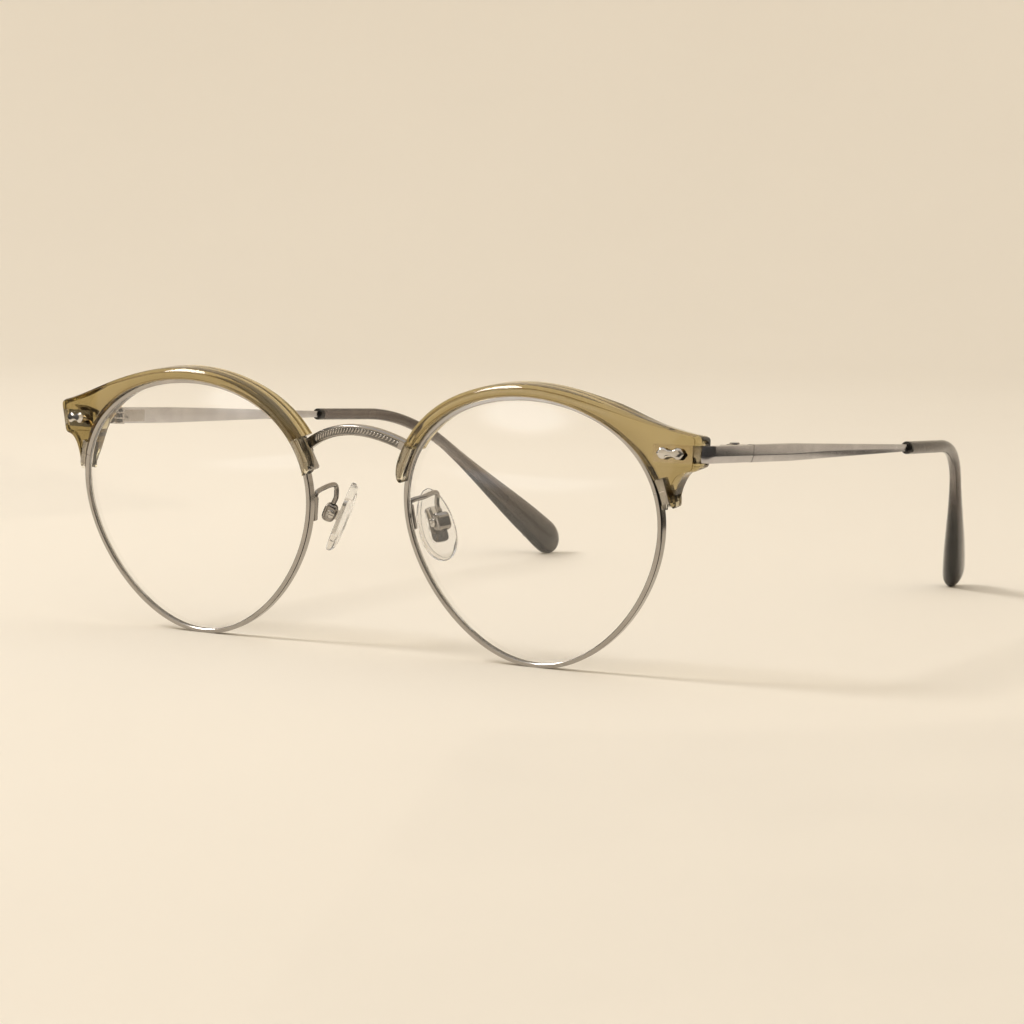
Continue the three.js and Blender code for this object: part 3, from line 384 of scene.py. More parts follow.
# %% Metals
GRAIN_SCALE, METAL_MARKS = 16000, 260
GRAIN_STRENGTH, GRAIN_HEIGHT = 0.03, 0.00001
LENGTHWISE = (1, 0.05, 1)


def metal(name, dark, light, smoothest, roughest, stretch=(1, 1, 1)):
    material = finish(name)
    tree, shader = material.node_tree, shader_of(material)
    shader.inputs["Metallic"].default_value = 1.0
    marks = effect(material, handling_marks, METAL_MARKS, 0, 1)
    grain = effect(material, fine_grain, GRAIN_SCALE, smoothest, roughest, stretch)
    roughened(material, grain)
    tinted(material, marks.outputs["Value"], dark, light)
    bump = add_node(tree, "ShaderNodeBump", {"Strength": GRAIN_STRENGTH, "Distance": GRAIN_HEIGHT})
    link(tree, grain, "Height", bump, "Height")
    link(tree, bump, "Normal", shader, "Normal")
    return material


gunmetal = metal("satin_gunmetal", (0.4, 0.375, 0.35), (0.44, 0.415, 0.39), 0.13, 0.22)
brushed = metal("brushed_gunmetal", (0.5, 0.485, 0.5), (0.57, 0.555, 0.57), 0.15, 0.26, LENGTHWISE)
polished = metal("polished_gunmetal", (0.3, 0.28, 0.26), (0.35, 0.33, 0.305), 0.07, 0.13)
steel = metal("bright_steel", (0.6, 0.575, 0.54), (0.68, 0.655, 0.62), 0.1, 0.2)
blackened = metal("blackened_metal", (0.035, 0.032, 0.03), (0.06, 0.056, 0.052), 0.45, 0.6)
oxidised = metal("oxidised_metal", (0.19, 0.18, 0.165), (0.26, 0.245, 0.225), 0.3, 0.45)
silvered = metal("silvered_metal", (0.76, 0.69, 0.58), (0.8, 0.73, 0.62), 0.04, 0.08)
print("metals:", [made.name for made in (gunmetal, brushed, polished, steel, blackened, oxidised, silvered)])

# %% [markdown]
# The brows, tips, lenses and pads are clear. Acetate takes its colour from depth: light loses a little on
# every millimetre, so thin places look almost clear and thick ones dark. A tint on the surface would look
# the same at any thickness, so it is volume absorption behind a clear glossy surface. The renderer gives
# a clear piece a dark shadow, because it leaves out light that is bent on its way from a lamp. So lenses,
# pads and brows let lamplight pass, only tinted.

# %% Clear finishes
CLEAR_MARKS = 180


def clear(name, index, roughness, absorbs=None, density=0):
    material = finish(name)
    tree, shader = material.node_tree, shader_of(material)
    shader.inputs["Base Color"].default_value = (1, 1, 1, 1)
    shader.inputs["Transmission Weight"].default_value = 1.0
    shader.inputs["IOR"].default_value = index
    roughened(material, effect(material, handling_marks, CLEAR_MARKS, *roughness))
    if absorbs:
        volume = add_node(tree, "ShaderNodeVolumeAbsorption", {"Color": (*absorbs, 1), "Density": density})
        link(tree, volume, "Volume", tree.nodes["Material Output"], "Volume")
    return material


def blend(material, share, first, second):
    """Sends a mix of two shaders to the surface, by a share from zero to one."""
    tree = material.node_tree
    mixed = add_node(tree, "ShaderNodeMixShader")
    for socket, source in (("Fac", share), (1, first), (2, second)):
        tree.links.new(source, mixed.inputs[socket])
    link(tree, mixed, "Shader", tree.nodes["Material Output"], "Surface")


def pass_lamplight(material, colour):
    """Lets light from the lamps through, as thin clear sheets do."""
    path = add_node(material.node_tree, "ShaderNodeLightPath")
    through = add_node(material.node_tree, "ShaderNodeBsdfTransparent", {"Color": (*colour, 1)})
    surface = shader_of(material).outputs["BSDF"]
    blend(material, path.outputs["Is Shadow Ray"], surface, through.outputs["BSDF"])
    return material


lens_glass = pass_lamplight(clear("coated_lens", 1.5, (0.0, 0.015)), (0.97, 0.97, 0.96))
silicone = pass_lamplight(clear("clear_silicone", 1.28, (0.06, 0.12)), (0.9, 0.89, 0.88))
shader_of(silicone).inputs["Transmission Weight"].default_value = 0.9
print("clear finishes:", lens_glass.name, silicone.name)

# %% [markdown]
# The brows are khaki acetate. On the real ones a thin dark line runs along the edge where the front face
# turns over to the bevel, because the rounded edge bends the light away. The bevel alone leaves that line
# too faint. So the finish finds the place by the way it faces: a little off straight ahead, it takes a
# darker tone.

# %% Brow acetate
KHAKI_FACE, KHAKI_EDGE = (0.99, 0.98, 0.95), (0.28, 0.2, 0.12)
KHAKI_TONES = ((0.79, KHAKI_FACE), (0.82, KHAKI_EDGE), (0.9, KHAKI_EDGE), (0.93, KHAKI_FACE))


def facing_front(material):
    """One where the piece faces straight ahead, zero where it faces sideways, up or down."""
    tree = material.node_tree
    place = add_node(tree, "ShaderNodeTexCoord")
    likeness = add_node(tree, "ShaderNodeVectorMath", {1: (0, -1, 0)})
    likeness.operation = "DOT_PRODUCT"
    link(tree, place, "Normal", likeness, 0)
    return likeness.outputs["Value"]


khaki = clear("khaki_acetate", 1.49, (0.02, 0.06), (0.61, 0.5, 0.13), 385)
edge_tones = tinted(khaki, facing_front(khaki), KHAKI_FACE, KHAKI_FACE).color_ramp.elements
for likeness, tone in KHAKI_TONES:
    edge_tones.new(likeness).color = (*tone, 1)
pass_lamplight(khaki, (0.62, 0.54, 0.34))
print("brow acetate:", khaki.name, "with", len(edge_tones), "edge tones")

# %% [markdown]
# The temple tips are smoke acetate. Their surface is tinted by height, cooler and darker towards the bottom
# in the paddle near the table than along the bend. A short band at the mouth of each tip is near black.

# %% Tip acetate
SMOKE_LOW, SMOKE_HIGH = (0.55, 0.6, 0.62), (1, 0.98, 0.95)
SMOKE_FROM, SMOKE_TO = 0.003, 0.018


def height_on(material, low, high):
    """Zero below one height on the piece and one above another, in metres."""
    tree = material.node_tree
    place = add_node(tree, "ShaderNodeTexCoord")
    parts = add_node(tree, "ShaderNodeSeparateXYZ")
    spread = add_node(tree, "ShaderNodeMapRange", {"From Min": low, "From Max": high})
    link(tree, place, "Object", parts, "Vector")
    link(tree, parts, "Z", spread, "Value")
    return spread.outputs["Result"]


smoke = clear("smoke_acetate", 1.49, (0.03, 0.08), (0.16, 0.07, 0.0), 850)
# Tinted by height: cooler and darker towards the bottom of each tip, near the table.
tinted(smoke, height_on(smoke, SMOKE_FROM, SMOKE_TO), SMOKE_LOW, SMOKE_HIGH)
# Near black, for the short band at the mouth of each tip.
dark_mouth_band = finish("dark_mouth_band")
roughened(dark_mouth_band, effect(dark_mouth_band, handling_marks, CLEAR_MARKS, 0.1, 0.2))
shader_of(dark_mouth_band).inputs["Base Color"].default_value = (0.012, 0.011, 0.01, 1)
print("tip acetates:", smoke.name, dark_mouth_band.name)

# %% [markdown]
# A finished piece rides on a body and has its finish, and the frame's own node that it stands for is
# hidden. Almost all pieces come in pairs. A mirror modifier would make one mesh of both sides, and the two
# have to move alone, so the left one is modelled and a copy is mirrored across the nose. A mirrored mesh
# is inside out, so its normals are worked out again.


# %% Handing a piece over to the frame
def other_side(piece):
    """The mirror image across the nose, with its own mesh."""
    choose(piece)
    bpy.ops.object.duplicate()
    copy = named(piece.name.replace("left", "right"))
    copy.scale.x = -1
    bpy.ops.object.transform_apply()
    bpy.ops.object.mode_set(mode="EDIT")
    bpy.ops.mesh.select_all(action="SELECT")
    bpy.ops.mesh.normals_make_consistent(inside=False)
    bpy.ops.object.mode_set(mode="OBJECT")
    return copy


def hand_over(piece, material, body, node):
    if not piece.data.materials:
        piece.data.materials.append(material)
    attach(piece, body)
    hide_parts(node)
    print("made", piece.name, "with", len(piece.data.polygons), "faces")
    return piece


def hand_over_pair(piece, material, node, body="front"):
    """Hands over a left piece and its mirror image. A body that moves has a name for each side."""
    copy = other_side(piece)
    for made, side in ((piece, "left"), (copy, "right")):
        rides = body if body == "front" else f"{body}_{side}"
        hand_over(made, material, rides, f"{node}_{side}")


print("nodes to stand for:", len(frame["nodes"]))

# %% [markdown]
# The rim follows one outline: an ellipse that is a little wider above its middle. It could be drawn by
# hand, but a formula also tells which way the rim runs at every angle. The angle is counted from the
# temple's side of the lens over the top to the nose. Everything on the front is placed by an angle on
# that line, a distance outwards and a depth behind the front plane.

# %% The rim's line
SEAT, FIT = 0.06, -0.03        # room between two metal pieces, and between acetate and the metal in it
LENS_WIDTH, LENS_HEIGHT, LENS_TAPER = 49.4, 45.8, 0.156
NOSE_GAP = 20.6
RIM_WALL, RIM_DEPTH = 0.8, 1.9
GROOVE_DEPTH, GROOVE_WIDTH = 0.3, 0.8
RIM_OUT, RIM_BACK = RIM_WALL / 2, RIM_DEPTH / 2
RIM_TOP = LENS_HEIGHT + RIM_WALL
LENS_SIDE = NOSE_GAP / 2 + LENS_WIDTH
RIM_MIDDLE = Vector(((NOSE_GAP + LENS_WIDTH) / 2, 0, LENS_HEIGHT / 2 + RIM_OUT))
WIDEST_SINE = (math.sqrt(1 + 8 * LENS_TAPER ** 2) - 1) / (4 * LENS_TAPER)
WIDEST_SHARE = math.sqrt(1 - WIDEST_SINE ** 2) * (1 + LENS_TAPER * WIDEST_SINE)
HALF_WIDTH = LENS_WIDTH / 2 / WIDEST_SHARE
HALF_HEIGHT = LENS_HEIGHT / 2
BACKWARD = Vector((0, 1, 0))


def rim_frame(degrees):
    """A point on the rim's line, with the directions along it and out of it."""
    angle = math.radians(degrees)
    sine, cosine = math.sin(angle), math.cos(angle)
    point = RIM_MIDDLE + Vector((HALF_WIDTH * cosine * (1 + LENS_TAPER * sine), 0, HALF_HEIGHT * sine))
    run = HALF_WIDTH * (LENS_TAPER * math.cos(2 * angle) - sine)
    along = Vector((run, 0, HALF_HEIGHT * cosine)).normalized()
    return point, along, Vector((along.z, 0, -along.x))


def on_rim(degrees, out, depth):
    point, _, outward = rim_frame(degrees)
    return point + outward * out + BACKWARD * depth


def axes(x, y, z, origin):
    """A place with its own X, Y and Z directions."""
    place = Matrix((x, y, z)).transposed().to_4x4()
    place.translation = origin
    return place


def rim_place(degrees):
    """X outwards, Y backwards and Z along the rim as its angle grows."""
    point, along, outward = rim_frame(degrees)
    return axes(outward, BACKWARD, along, point)


print("rim widest at", round(RIM_MIDDLE.x + LENS_WIDTH / 2, 2), "mm")

# %% [markdown]
# The eyewire is rolled wire with a groove for the lens, closed by a split block and a small screw. A
# torus couldn't follow the outline, so it is one ring of sections round it, with fine chamfers that catch
# the light. A dark line is scored round it near the front. The block is welded on, then the slit and the
# screw's hole are cut.

# %% Eyewires
RIM_STATIONS = 180
RIM_CHAMFER = 0.22
LINE_FRONT, LINE_WIDTH, LINE_DEPTH = -0.86, 0.28, 0.14
LOCK_ANGLE, LOCK_HEIGHT, LOCK_WIDTH, LOCK_SLIT = 21, 4.4, 1.5, 0.08
LOCK_FRONT, LOCK_BACK, LOCK_EDGE = -0.5, 1.9, 0.12
LOCK_SCREW = 0.38
LOCK_OUT = RIM_OUT + LOCK_WIDTH
lock_place = rim_place(LOCK_ANGLE)
lock_axis = Vector((RIM_OUT + LOCK_WIDTH / 2, (LOCK_FRONT + LOCK_BACK) / 2, -LOCK_HEIGHT / 2))
lock_screw_place = lock_place @ Matrix.Translation(lock_axis) @ Matrix.Rotation(math.pi, 4, "X")


def rim_ring(name, profile, material):
    """A ring of one section all round the rim's line."""
    angles = [360 * (number + 0.5) / RIM_STATIONS for number in range(RIM_STATIONS)]
    ring = loft(name, [[on_rim(angle, *point) for point in profile] for angle in angles], True)
    ring.data.materials.append(material)
    return ring


def eyewire():
    inner, outer = -RIM_OUT, RIM_OUT
    half_groove = GROOVE_WIDTH / 2
    ring = rim_ring("eyewire_left", [
        (inner, -half_groove), (inner, RIM_CHAMFER / 2 - RIM_BACK), (inner + RIM_CHAMFER / 2, -RIM_BACK),
        (outer - RIM_CHAMFER / 2, -RIM_BACK), (outer, RIM_CHAMFER / 3 - RIM_BACK),
        (outer, RIM_BACK - RIM_CHAMFER), (outer - RIM_CHAMFER, RIM_BACK),
        (inner + RIM_CHAMFER / 2, RIM_BACK), (inner, RIM_BACK - RIM_CHAMFER / 2), (inner, half_groove),
        (inner + GROOVE_DEPTH, 0),
    ], gunmetal)
    cut(ring, rim_ring("scored_line", [
        (outer + LINE_DEPTH, LINE_FRONT - LINE_WIDTH / 2), (outer - LINE_DEPTH, LINE_FRONT + LINE_WIDTH / 2),
        (outer + LINE_DEPTH, LINE_FRONT + LINE_WIDTH * 1.5),
    ], blackened))
    reach = LOCK_HEIGHT / 2
    root = (GROOVE_DEPTH + RIM_WALL) / 2 - RIM_OUT
    lock = soften(block("lock", (root, LOCK_FRONT, -reach), (LOCK_OUT, LOCK_BACK, reach)), LOCK_EDGE)
    slit = block("slit", (-RIM_WALL, -RIM_DEPTH, -LOCK_SLIT / 2),
                 (2 * LOCK_OUT, 2 * LOCK_BACK, LOCK_SLIT / 2))
    hole = rod("hole", LOCK_SCREW + SEAT, -2 * LOCK_HEIGHT, LOCK_HEIGHT)
    weld(ring, move(lock, lock_place))
    cut(ring, move(slit, lock_place), move(hole, lock_screw_place))
    return move(smooth(ring), FRONT)


hand_over_pair(eyewire(), gunmetal, "rim")

# %% [markdown]
# A lens is a shallow dome of even thickness whose bevelled edge stands in the groove. It is lofted
# from the middle of its front out to the edge and back to the middle of its back. Rings close together
# keep the dome smooth, because a coarse one would bend what is seen through it.


# %% Lenses
def between(low, high, share):
    return low + (high - low) * share


def steps(low, high, count):
    return [between(low, high, number / count) for number in range(count + 1)]


LENS_THICKNESS, LENS_DOME = 1.3, 2.2
LENS_RINGS = [0.003, *steps(0.03, 1.0, 34)]
LENS_POINTS = 144


def lens():
    angles = [360 * number / LENS_POINTS for number in range(LENS_POINTS)]
    shoulder = -RIM_OUT - SEAT

    def ring(out, share, depth):
        fall = depth - LENS_DOME * (1 - share ** 2)
        return [RIM_MIDDLE + (on_rim(a, out, 0) - RIM_MIDDLE) * share + BACKWARD * fall for a in angles]

    half = LENS_THICKNESS / 2
    rings = [ring(shoulder, share, -half) for share in LENS_RINGS]
    rings += [ring(shoulder, 1, -GROOVE_WIDTH / 2), ring(shoulder + GROOVE_DEPTH, 1, 0)]
    rings += [ring(shoulder, 1, GROOVE_WIDTH / 2)]
    rings += [ring(shoulder, share, half) for share in reversed(LENS_RINGS)]
    return move(smooth(loft("lens_glass_left", rings)), FRONT)


hand_over_pair(lens(), lens_glass, "lens")

# %% [markdown]
# Small slotted screws hold everything: the locks, the brow tabs, the hinges and the pads. One function
# turns a shank and a domed head and cuts the driver's slot across it. The shanks stay plain, because
# their threads are never seen.

# %% Screws
SCREW_SIDES, SCREW_POLE = 40, 0.02
SHANK_END, SHANK_CHAMFER = 0.8, 0.2
HEAD_DOME = ((0.96, 0), (1, 0.1), (1, 0.5), (0.88, 0.82), (0.6, 0.97))
SLOT_HALF, SLOT_FLOOR = 0.13, 0.45
LOCK_HEAD, LOCK_HEAD_HEIGHT = 0.62, 0.5


def full_turn(count, offset=0):
    """Angles all round, the first one a share of a step from zero."""
    return [2 * math.pi * (number + offset) / count for number in range(count)]


def slotted_screw(name, radius, length, head_radius, head_height):
    outline = [(SCREW_POLE, -length), (radius * SHANK_END, -length),
               (radius, SHANK_CHAMFER * radius - length), (radius, 0),
               *[(head_radius * out, head_height * up) for out, up in HEAD_DOME], (SCREW_POLE, head_height)]
    turn = full_turn(SCREW_SIDES)
    body = loft(name, [[Vector((r * math.cos(t), r * math.sin(t), z)) for t in turn] for r, z in outline])
    slot = block("slot", (-2 * head_radius, -SLOT_HALF * head_radius, head_height * SLOT_FLOOR),
                 (2 * head_radius, SLOT_HALF * head_radius, 2 * head_height))
    return smooth(cut(body, slot))


lock_screw = slotted_screw("lock_screw_left", LOCK_SCREW, LOCK_HEIGHT, LOCK_HEAD, LOCK_HEAD_HEIGHT)
hand_over_pair(move(lock_screw, FRONT @ lock_screw_place @ Matrix.Translation((0, 0, SEAT))),
               steel, "rim_lock_screw")

# %% [markdown]
# The endpiece is a flat strap: a leg behind the brow, a bend round the corner and a side that runs back
# to the temple. Its section has a long bevel low on the outside, the same as the temple's, so the two
# read as one bar when the glasses are open. First come its line, seen from above, and its section.

# %% Strap line and section
LEG_ANGLE, LEG_LENGTH = math.radians(14), 9.0
CORNER_Y, CORNER_RADIUS, CORNER_STEPS = -15.1, 1.7, 12
STRAP_HEIGHT = 2.9
BUTT_GAP = 0.16
BAR_THICKNESS, BAR_EDGE = 1.3, 0.14
BAR_BEVEL_HEIGHT, BAR_BEVEL_INSET = 1.2, 0.4
leg_line = Vector((math.cos(LEG_ANGLE), math.sin(LEG_ANGLE)))
leg_front = Vector((leg_line.y, -leg_line.x))


def strap_line(offset):
    """The strap seen from above, at an offset from its middle."""
    turn = math.pi / 2 - LEG_ANGLE
    centre = Vector((-CORNER_RADIUS, CORNER_Y + CORNER_RADIUS * math.tan(turn / 2)))
    line = [Vector((0, CORNER_Y)) - leg_line * LEG_LENGTH + leg_front * offset]
    for share in steps(0, 1, CORNER_STEPS):
        angle = turn * (share - 1)
        line.append(centre + Vector((math.cos(angle), math.sin(angle))) * (CORNER_RADIUS + offset))
    line.append(Vector((offset, -BUTT_GAP / 2)))
    return line


def bar_section(thickness, height):
    bevel = min(BAR_BEVEL_HEIGHT, height / 2)
    inset = BAR_BEVEL_INSET * bevel / BAR_BEVEL_HEIGHT
    return [(-thickness / 2, -height / 2), (thickness / 2 - inset, -height / 2),
            (thickness / 2, bevel - height / 2), (thickness / 2, height / 2), (-thickness / 2, height / 2)]


middle = strap_line(0)
print("strap length, mm:", round(sum((b - a).length for a, b in zip(middle, middle[1:])), 2))

# %% [markdown]
# The strap is then lofted along its line. A bevel put on afterwards would pinch in the bend, so the
# corners of the section are eased first, and the whole length gets its soft edges at once. Two holes take
# the pins of the rivet.

# %% Endpieces
RIVET_ALONG, RIVET_PITCH, RIVET_PIN = 5.9, 2.8, 0.4
EASED_SHARE = 0.45
rivet_place = axes(leg_line.to_3d(), Vector((0, 0, 1)), leg_front.to_3d(),
                   Vector((0, CORNER_Y, 0)) - leg_line.to_3d() * RIVET_ALONG)


def rounded(outline, radius, count=2):
    """The same outline with every corner eased by a short curve."""
    points = [Vector(point) for point in outline]
    eased = []
    for before, corner, after in zip(points[-1:] + points[:-1], points, points[1:] + points[:1]):
        start, end = (
            corner + (other - corner).normalized() * min(radius, (other - corner).length * EASED_SHARE)
            for other in (before, after)
        )
        for number in range(count + 1):
            share = number / count
            eased.append(start * (1 - share) ** 2 + corner * 2 * share * (1 - share) + end * share ** 2)
    return eased


def rivet_holes(low, high, room):
    return [move(rod("pin_hole", RIVET_PIN + room, low, high), rivet_place @ Matrix.Translation((x, 0, 0)))
            for x in (-RIVET_PITCH / 2, RIVET_PITCH / 2)]


def endpiece():
    section = rounded(bar_section(BAR_THICKNESS, STRAP_HEIGHT), BAR_EDGE)
    lines = [strap_line(out) for out, _ in section]
    rings = [[line[i].to_3d() + Vector((0, 0, z)) for line, (_, z) in zip(lines, section)]
             for i in range(len(lines[0]))]
    strap = loft("strap_left", rings)
    cut(strap, *rivet_holes(-BAR_THICKNESS, BAR_THICKNESS, SEAT))
    return move(smooth(strap), TEMPLE)


hand_over_pair(endpiece(), brushed, "endpiece")

# %% [markdown]
# The brow is the piece that takes the most care. It hugs the rim from the nose tab over the arch, sweeps
# back and widens to the wing, and ends in a short tip below it. Over the arch it has an even height,
# and towards the nose it narrows a little and rounds off.

# %% Height of the brow's arch
BROW_HEIGHT = 2.1
BROW_NASAL_ANGLE, BROW_ARCH_ANGLE, BROW_TIP_ANGLE = 161.5, 90, 13.8
TAB_HEIGHT, TAB_NARROWS = 1.9, (120, 150)
TAB_ROUND, TAB_END_SHARE = 9, 0.3
BROW_IN = RIM_OUT + FIT


def ease(value, low, high):
    share = min(1.0, max(0.0, (value - low) / (high - low)))
    return share * share * (3 - 2 * share)


def arch_height(degrees):
    height = between(BROW_HEIGHT, TAB_HEIGHT, ease(degrees, *TAB_NARROWS))
    past = max(0, degrees - BROW_NASAL_ANGLE + TAB_ROUND) / TAB_ROUND
    return height * between(TAB_END_SHARE, 1, math.sqrt(max(0, 1 - past ** 2)))


print("brow height at the arch and at its end, mm:",
      [round(arch_height(angle), 2) for angle in (BROW_ARCH_ANGLE, BROW_NASAL_ANGLE)])

# %% [markdown]
# The outline of the wing is a chain of smooth curves: the long top, two rounded corners with the straight
# end between them, the cove below and the short tip. Each is set by a few control points, which are
# easier to adjust than the many points on the edge.

# %% Curves of the wing
WING_END, WING_TOP, WING_BOTTOM = LENS_SIDE + 6.7, RIM_TOP - 5.6, RIM_TOP - 11.5
WING_RAKE, WING_CORNER = 0.5, 0.9
WING_LEAD, WING_TAIL, WING_TOP_SLOPE = 12, 9.2, math.radians(12.5)
TIP_WIDTH, TIP_SIDE, TIP_END_SHARE = 2.3, 4, 0.8
COVE_OUT, COVE_DROP = 0.5, 0.2


def curve_points(points, count):
    """Points on a smooth curve with these control points."""
    order = len(points) - 1
    return [sum((points[i] * math.comb(order, i) * t ** i * (1 - t) ** (order - i)
                 for i in range(order + 1)), Vector((0, 0, 0))) for t in steps(0, 1, count)]


def wing_curves():
    """(control points, steps, how the angles fan out) from the top of the arch round to the tip."""
    start = on_rim(BROW_ARCH_ANGLE, BROW_IN + arch_height(BROW_ARCH_ANGLE), 0)
    lead = start - rim_frame(BROW_ARCH_ANGLE)[1] * WING_LEAD
    top = Vector((WING_END, 0, WING_TOP))
    bottom = Vector((WING_END - WING_RAKE, 0, WING_BOTTOM))
    tail = top + Vector((-math.cos(WING_TOP_SLOPE), 0, math.sin(WING_TOP_SLOPE))) * WING_TAIL
    tip_side = on_rim(BROW_TIP_ANGLE + TIP_SIDE, BROW_IN + TIP_WIDTH, 0)
    tip_corner = on_rim(BROW_TIP_ANGLE, BROW_IN + TIP_WIDTH, 0)
    tip_end = on_rim(BROW_TIP_ANGLE, BROW_IN + TIP_WIDTH * TIP_END_SHARE, 0)
    cove = Vector((tip_side.x + COVE_OUT, 0, bottom.z - COVE_DROP))

    def near(corner, towards):
        return corner + (towards - corner).normalized() * WING_CORNER

    return [
        ([start, lead, tail, near(top, tail)], 44, 0.75),
        ([near(top, tail), top, near(top, bottom)], 8, 1),
        ([near(top, bottom), near(bottom, top)], 6, 1),
        ([near(bottom, top), bottom, near(bottom, cove)], 8, 1),
        ([near(bottom, cove), cove, tip_side], 18, 1),
        ([tip_side, tip_corner, tip_end], 8, 1),
    ]


print("curves round the wing:", len(wing_curves()))

# %% [markdown]
# Arch and wing together are the brow's edge. Each point of it is paired with an angle on the rim, so that
# a section can run between the two. Round the wing's end many points share a narrow angle, so the
# sections fan out and never cross.

# %% Edge of the brow
ARCH_STATIONS = 110
WING_ANGLES = [BROW_ARCH_ANGLE, 41, 40, 34, 33, BROW_TIP_ANGLE + TIP_SIDE, BROW_TIP_ANGLE]


def brow_edge():
    """(angle on the rim, point on the brow's edge) from the nose tab round to the tip."""
    edge = []
    for degrees in steps(BROW_NASAL_ANGLE, BROW_ARCH_ANGLE, ARCH_STATIONS)[:-1]:
        edge.append((degrees, on_rim(degrees, BROW_IN + arch_height(degrees), 0)))
    for (controls, count, fan), here, there in zip(wing_curves(), WING_ANGLES, WING_ANGLES[1:]):
        points = curve_points(controls, count)
        last = there == BROW_TIP_ANGLE
        for number, point in enumerate(points if last else points[:-1]):
            edge.append((between(here, there, (number / count) ** fan), point))
    return edge


print("stations along the brow:", len(brow_edge()))

# %% [markdown]
# Each section runs from the rim out to that edge. It has a rebate that the rim sits in, a broad bevel
# along the front of its top, and a back that flares at the nose tab and leans in on the wing. All of it
# is pushed back along an arc, as the front of the wing sweeps towards the temple.

# %% Sections of the brow
BROW_FRONT, BROW_BACK, BROW_BEVEL = 2.5, 2.2, 0.35
BROW_LIP, BROW_CREST, BEVEL_SHARE = 0.75, 0.7, 0.37
SWEEP_START, SWEEP_RADIUS = LENS_SIDE - 14.7, 66
TAB_FLARE, TAB_FLARES = 0.8, (110, 155)
WING_LEAN, LEAN_START, LEAN_FULL = 0.75, WING_END - 15.4, WING_END - 6.4
WING_BEVEL_DEPTH, WING_BEVEL_INSET = 1.1, 0.45
TIP_BACK, TIP_BOTTOM = 0.8, RIM_TOP - 17.6


def sweep_back(x):
    past = max(0, x - SWEEP_START)
    return SWEEP_RADIUS - math.sqrt(SWEEP_RADIUS ** 2 - past ** 2)


def brow_section(degrees, outer):
    inner = on_rim(degrees, BROW_IN, 0)
    lip = on_rim(degrees, RIM_OUT - BROW_LIP, 0)
    outward = (outer - inner).normalized()
    width = (outer - inner).length
    rise = min(1, max(0, (outer.z - WING_BOTTOM) / (WING_TOP - WING_BOTTOM)))
    on_wing = degrees < BROW_ARCH_ANGLE
    lean = rise * ease(outer.x, LEAN_START, LEAN_FULL) if on_wing else 0
    flare = 0 if on_wing else TAB_FLARE * ease(degrees, *TAB_FLARES) * arch_height(degrees) / BROW_HEIGHT
    bevel = min(BROW_BEVEL, BEVEL_SHARE * width)
    crest = min(BROW_CREST, BEVEL_SHARE * width)
    inset, drop = between(crest, WING_BEVEL_INSET, lean), between(crest, WING_BEVEL_DEPTH, lean)
    full = ease(outer.z, TIP_BOTTOM, WING_BOTTOM) if on_wing else 1
    back = between(TIP_BACK, BROW_BACK, full)
    rear = outer - Vector((0, 0, WING_LEAN * lean))

    def at(point, out, depth):
        place = point + outward * out
        return place + BACKWARD * (depth + sweep_back(place.x))

    seat = RIM_BACK + SEAT
    return [
        at(inner, 0, bevel - BROW_FRONT), at(inner, bevel, -BROW_FRONT),
        at(outer, -inset, -BROW_FRONT), at(outer, 0, drop - BROW_FRONT),
        at(rear, flare, back - bevel), at(rear, flare - bevel, back),
        at(lip, 0, back), lip + BACKWARD * seat, inner + BACKWARD * seat,
    ]


print("the wing sweeps back, mm:", round(sweep_back(WING_END), 2))

# %% [markdown]
# The bridge meets the rims behind the brow tabs, and the clear acetate shows it there. So its line comes
# before the brows: the arch is a parabola, and its foot and tab screw stand at one angle on the rim.

# %% Bridge line
BRIDGE_HEIGHT, BRIDGE_DEPTH, BRIDGE_CHAMFER = 1.9, 1.8, 0.35
BRIDGE_SPAN, BRIDGE_Y, BRIDGE_Z = NOSE_GAP / 2 + 0.6, -0.1, RIM_TOP - 7.6
BRIDGE_FALL, BRIDGE_SWEEP, BRIDGE_STATIONS = 3.3, 1.6, 56
FOOT_ANGLE, FOOT_HEIGHT, FOOT_WIDTH = 152, 5.2, 1.35
FOOT_FRONT, FOOT_BACK, FOOT_TOE = -1.7, 1.5, 0.9
FOOT_OUT = RIM_OUT + SEAT + FOOT_WIDTH
foot_place = rim_place(FOOT_ANGLE)


def bridge_middle(x):
    share = (x / BRIDGE_SPAN) ** 2
    return Vector((x, BRIDGE_Y + BRIDGE_SWEEP * share, BRIDGE_Z - BRIDGE_FALL * share))


def bridge_slope(x):
    return math.atan(-2 * BRIDGE_FALL * x / BRIDGE_SPAN ** 2)


def arched(name, front, back, height, reach, corner):
    """A bar of one section along the bridge's line."""
    top = height / 2
    profile = rounded([(front, -top), (front, top), (back, top), (back, -top)], corner, 3)
    rings = []
    for x in steps(-reach, reach, BRIDGE_STATIONS):
        slope = bridge_slope(x)
        upward = Vector((-math.sin(slope), 0, math.cos(slope)))
        rings.append([bridge_middle(x) + BACKWARD * depth + upward * rise for depth, rise in profile])
    return loft(name, rings)


def bridge_arch(name, grow, back, corner):
    return arched(name, -BRIDGE_DEPTH / 2 - grow, back, BRIDGE_HEIGHT + 2 * grow, BRIDGE_SPAN + grow, corner)


print("bridge falls, mm:", round(bridge_middle(0).z - bridge_middle(BRIDGE_SPAN).z, 2))

# %% [markdown]
# Now the brow is lofted through its sections, and the rooms for the lock, the bridge's foot, the strap
# and the rivet's pins are cut. The rooms are a hair smaller than what they hold, so no film of air
# shows as a bright skin through the acetate. Behind the rivet the strap's channel has a silver lining.

# %% Brows
in_front = FRONT.inverted() @ TEMPLE
BROW_EDGE, BROW_SMOOTH = 0.25, 24
FAR_BACK = 40
TAB_BACK = -0.3
LINED_LEG = 6.6


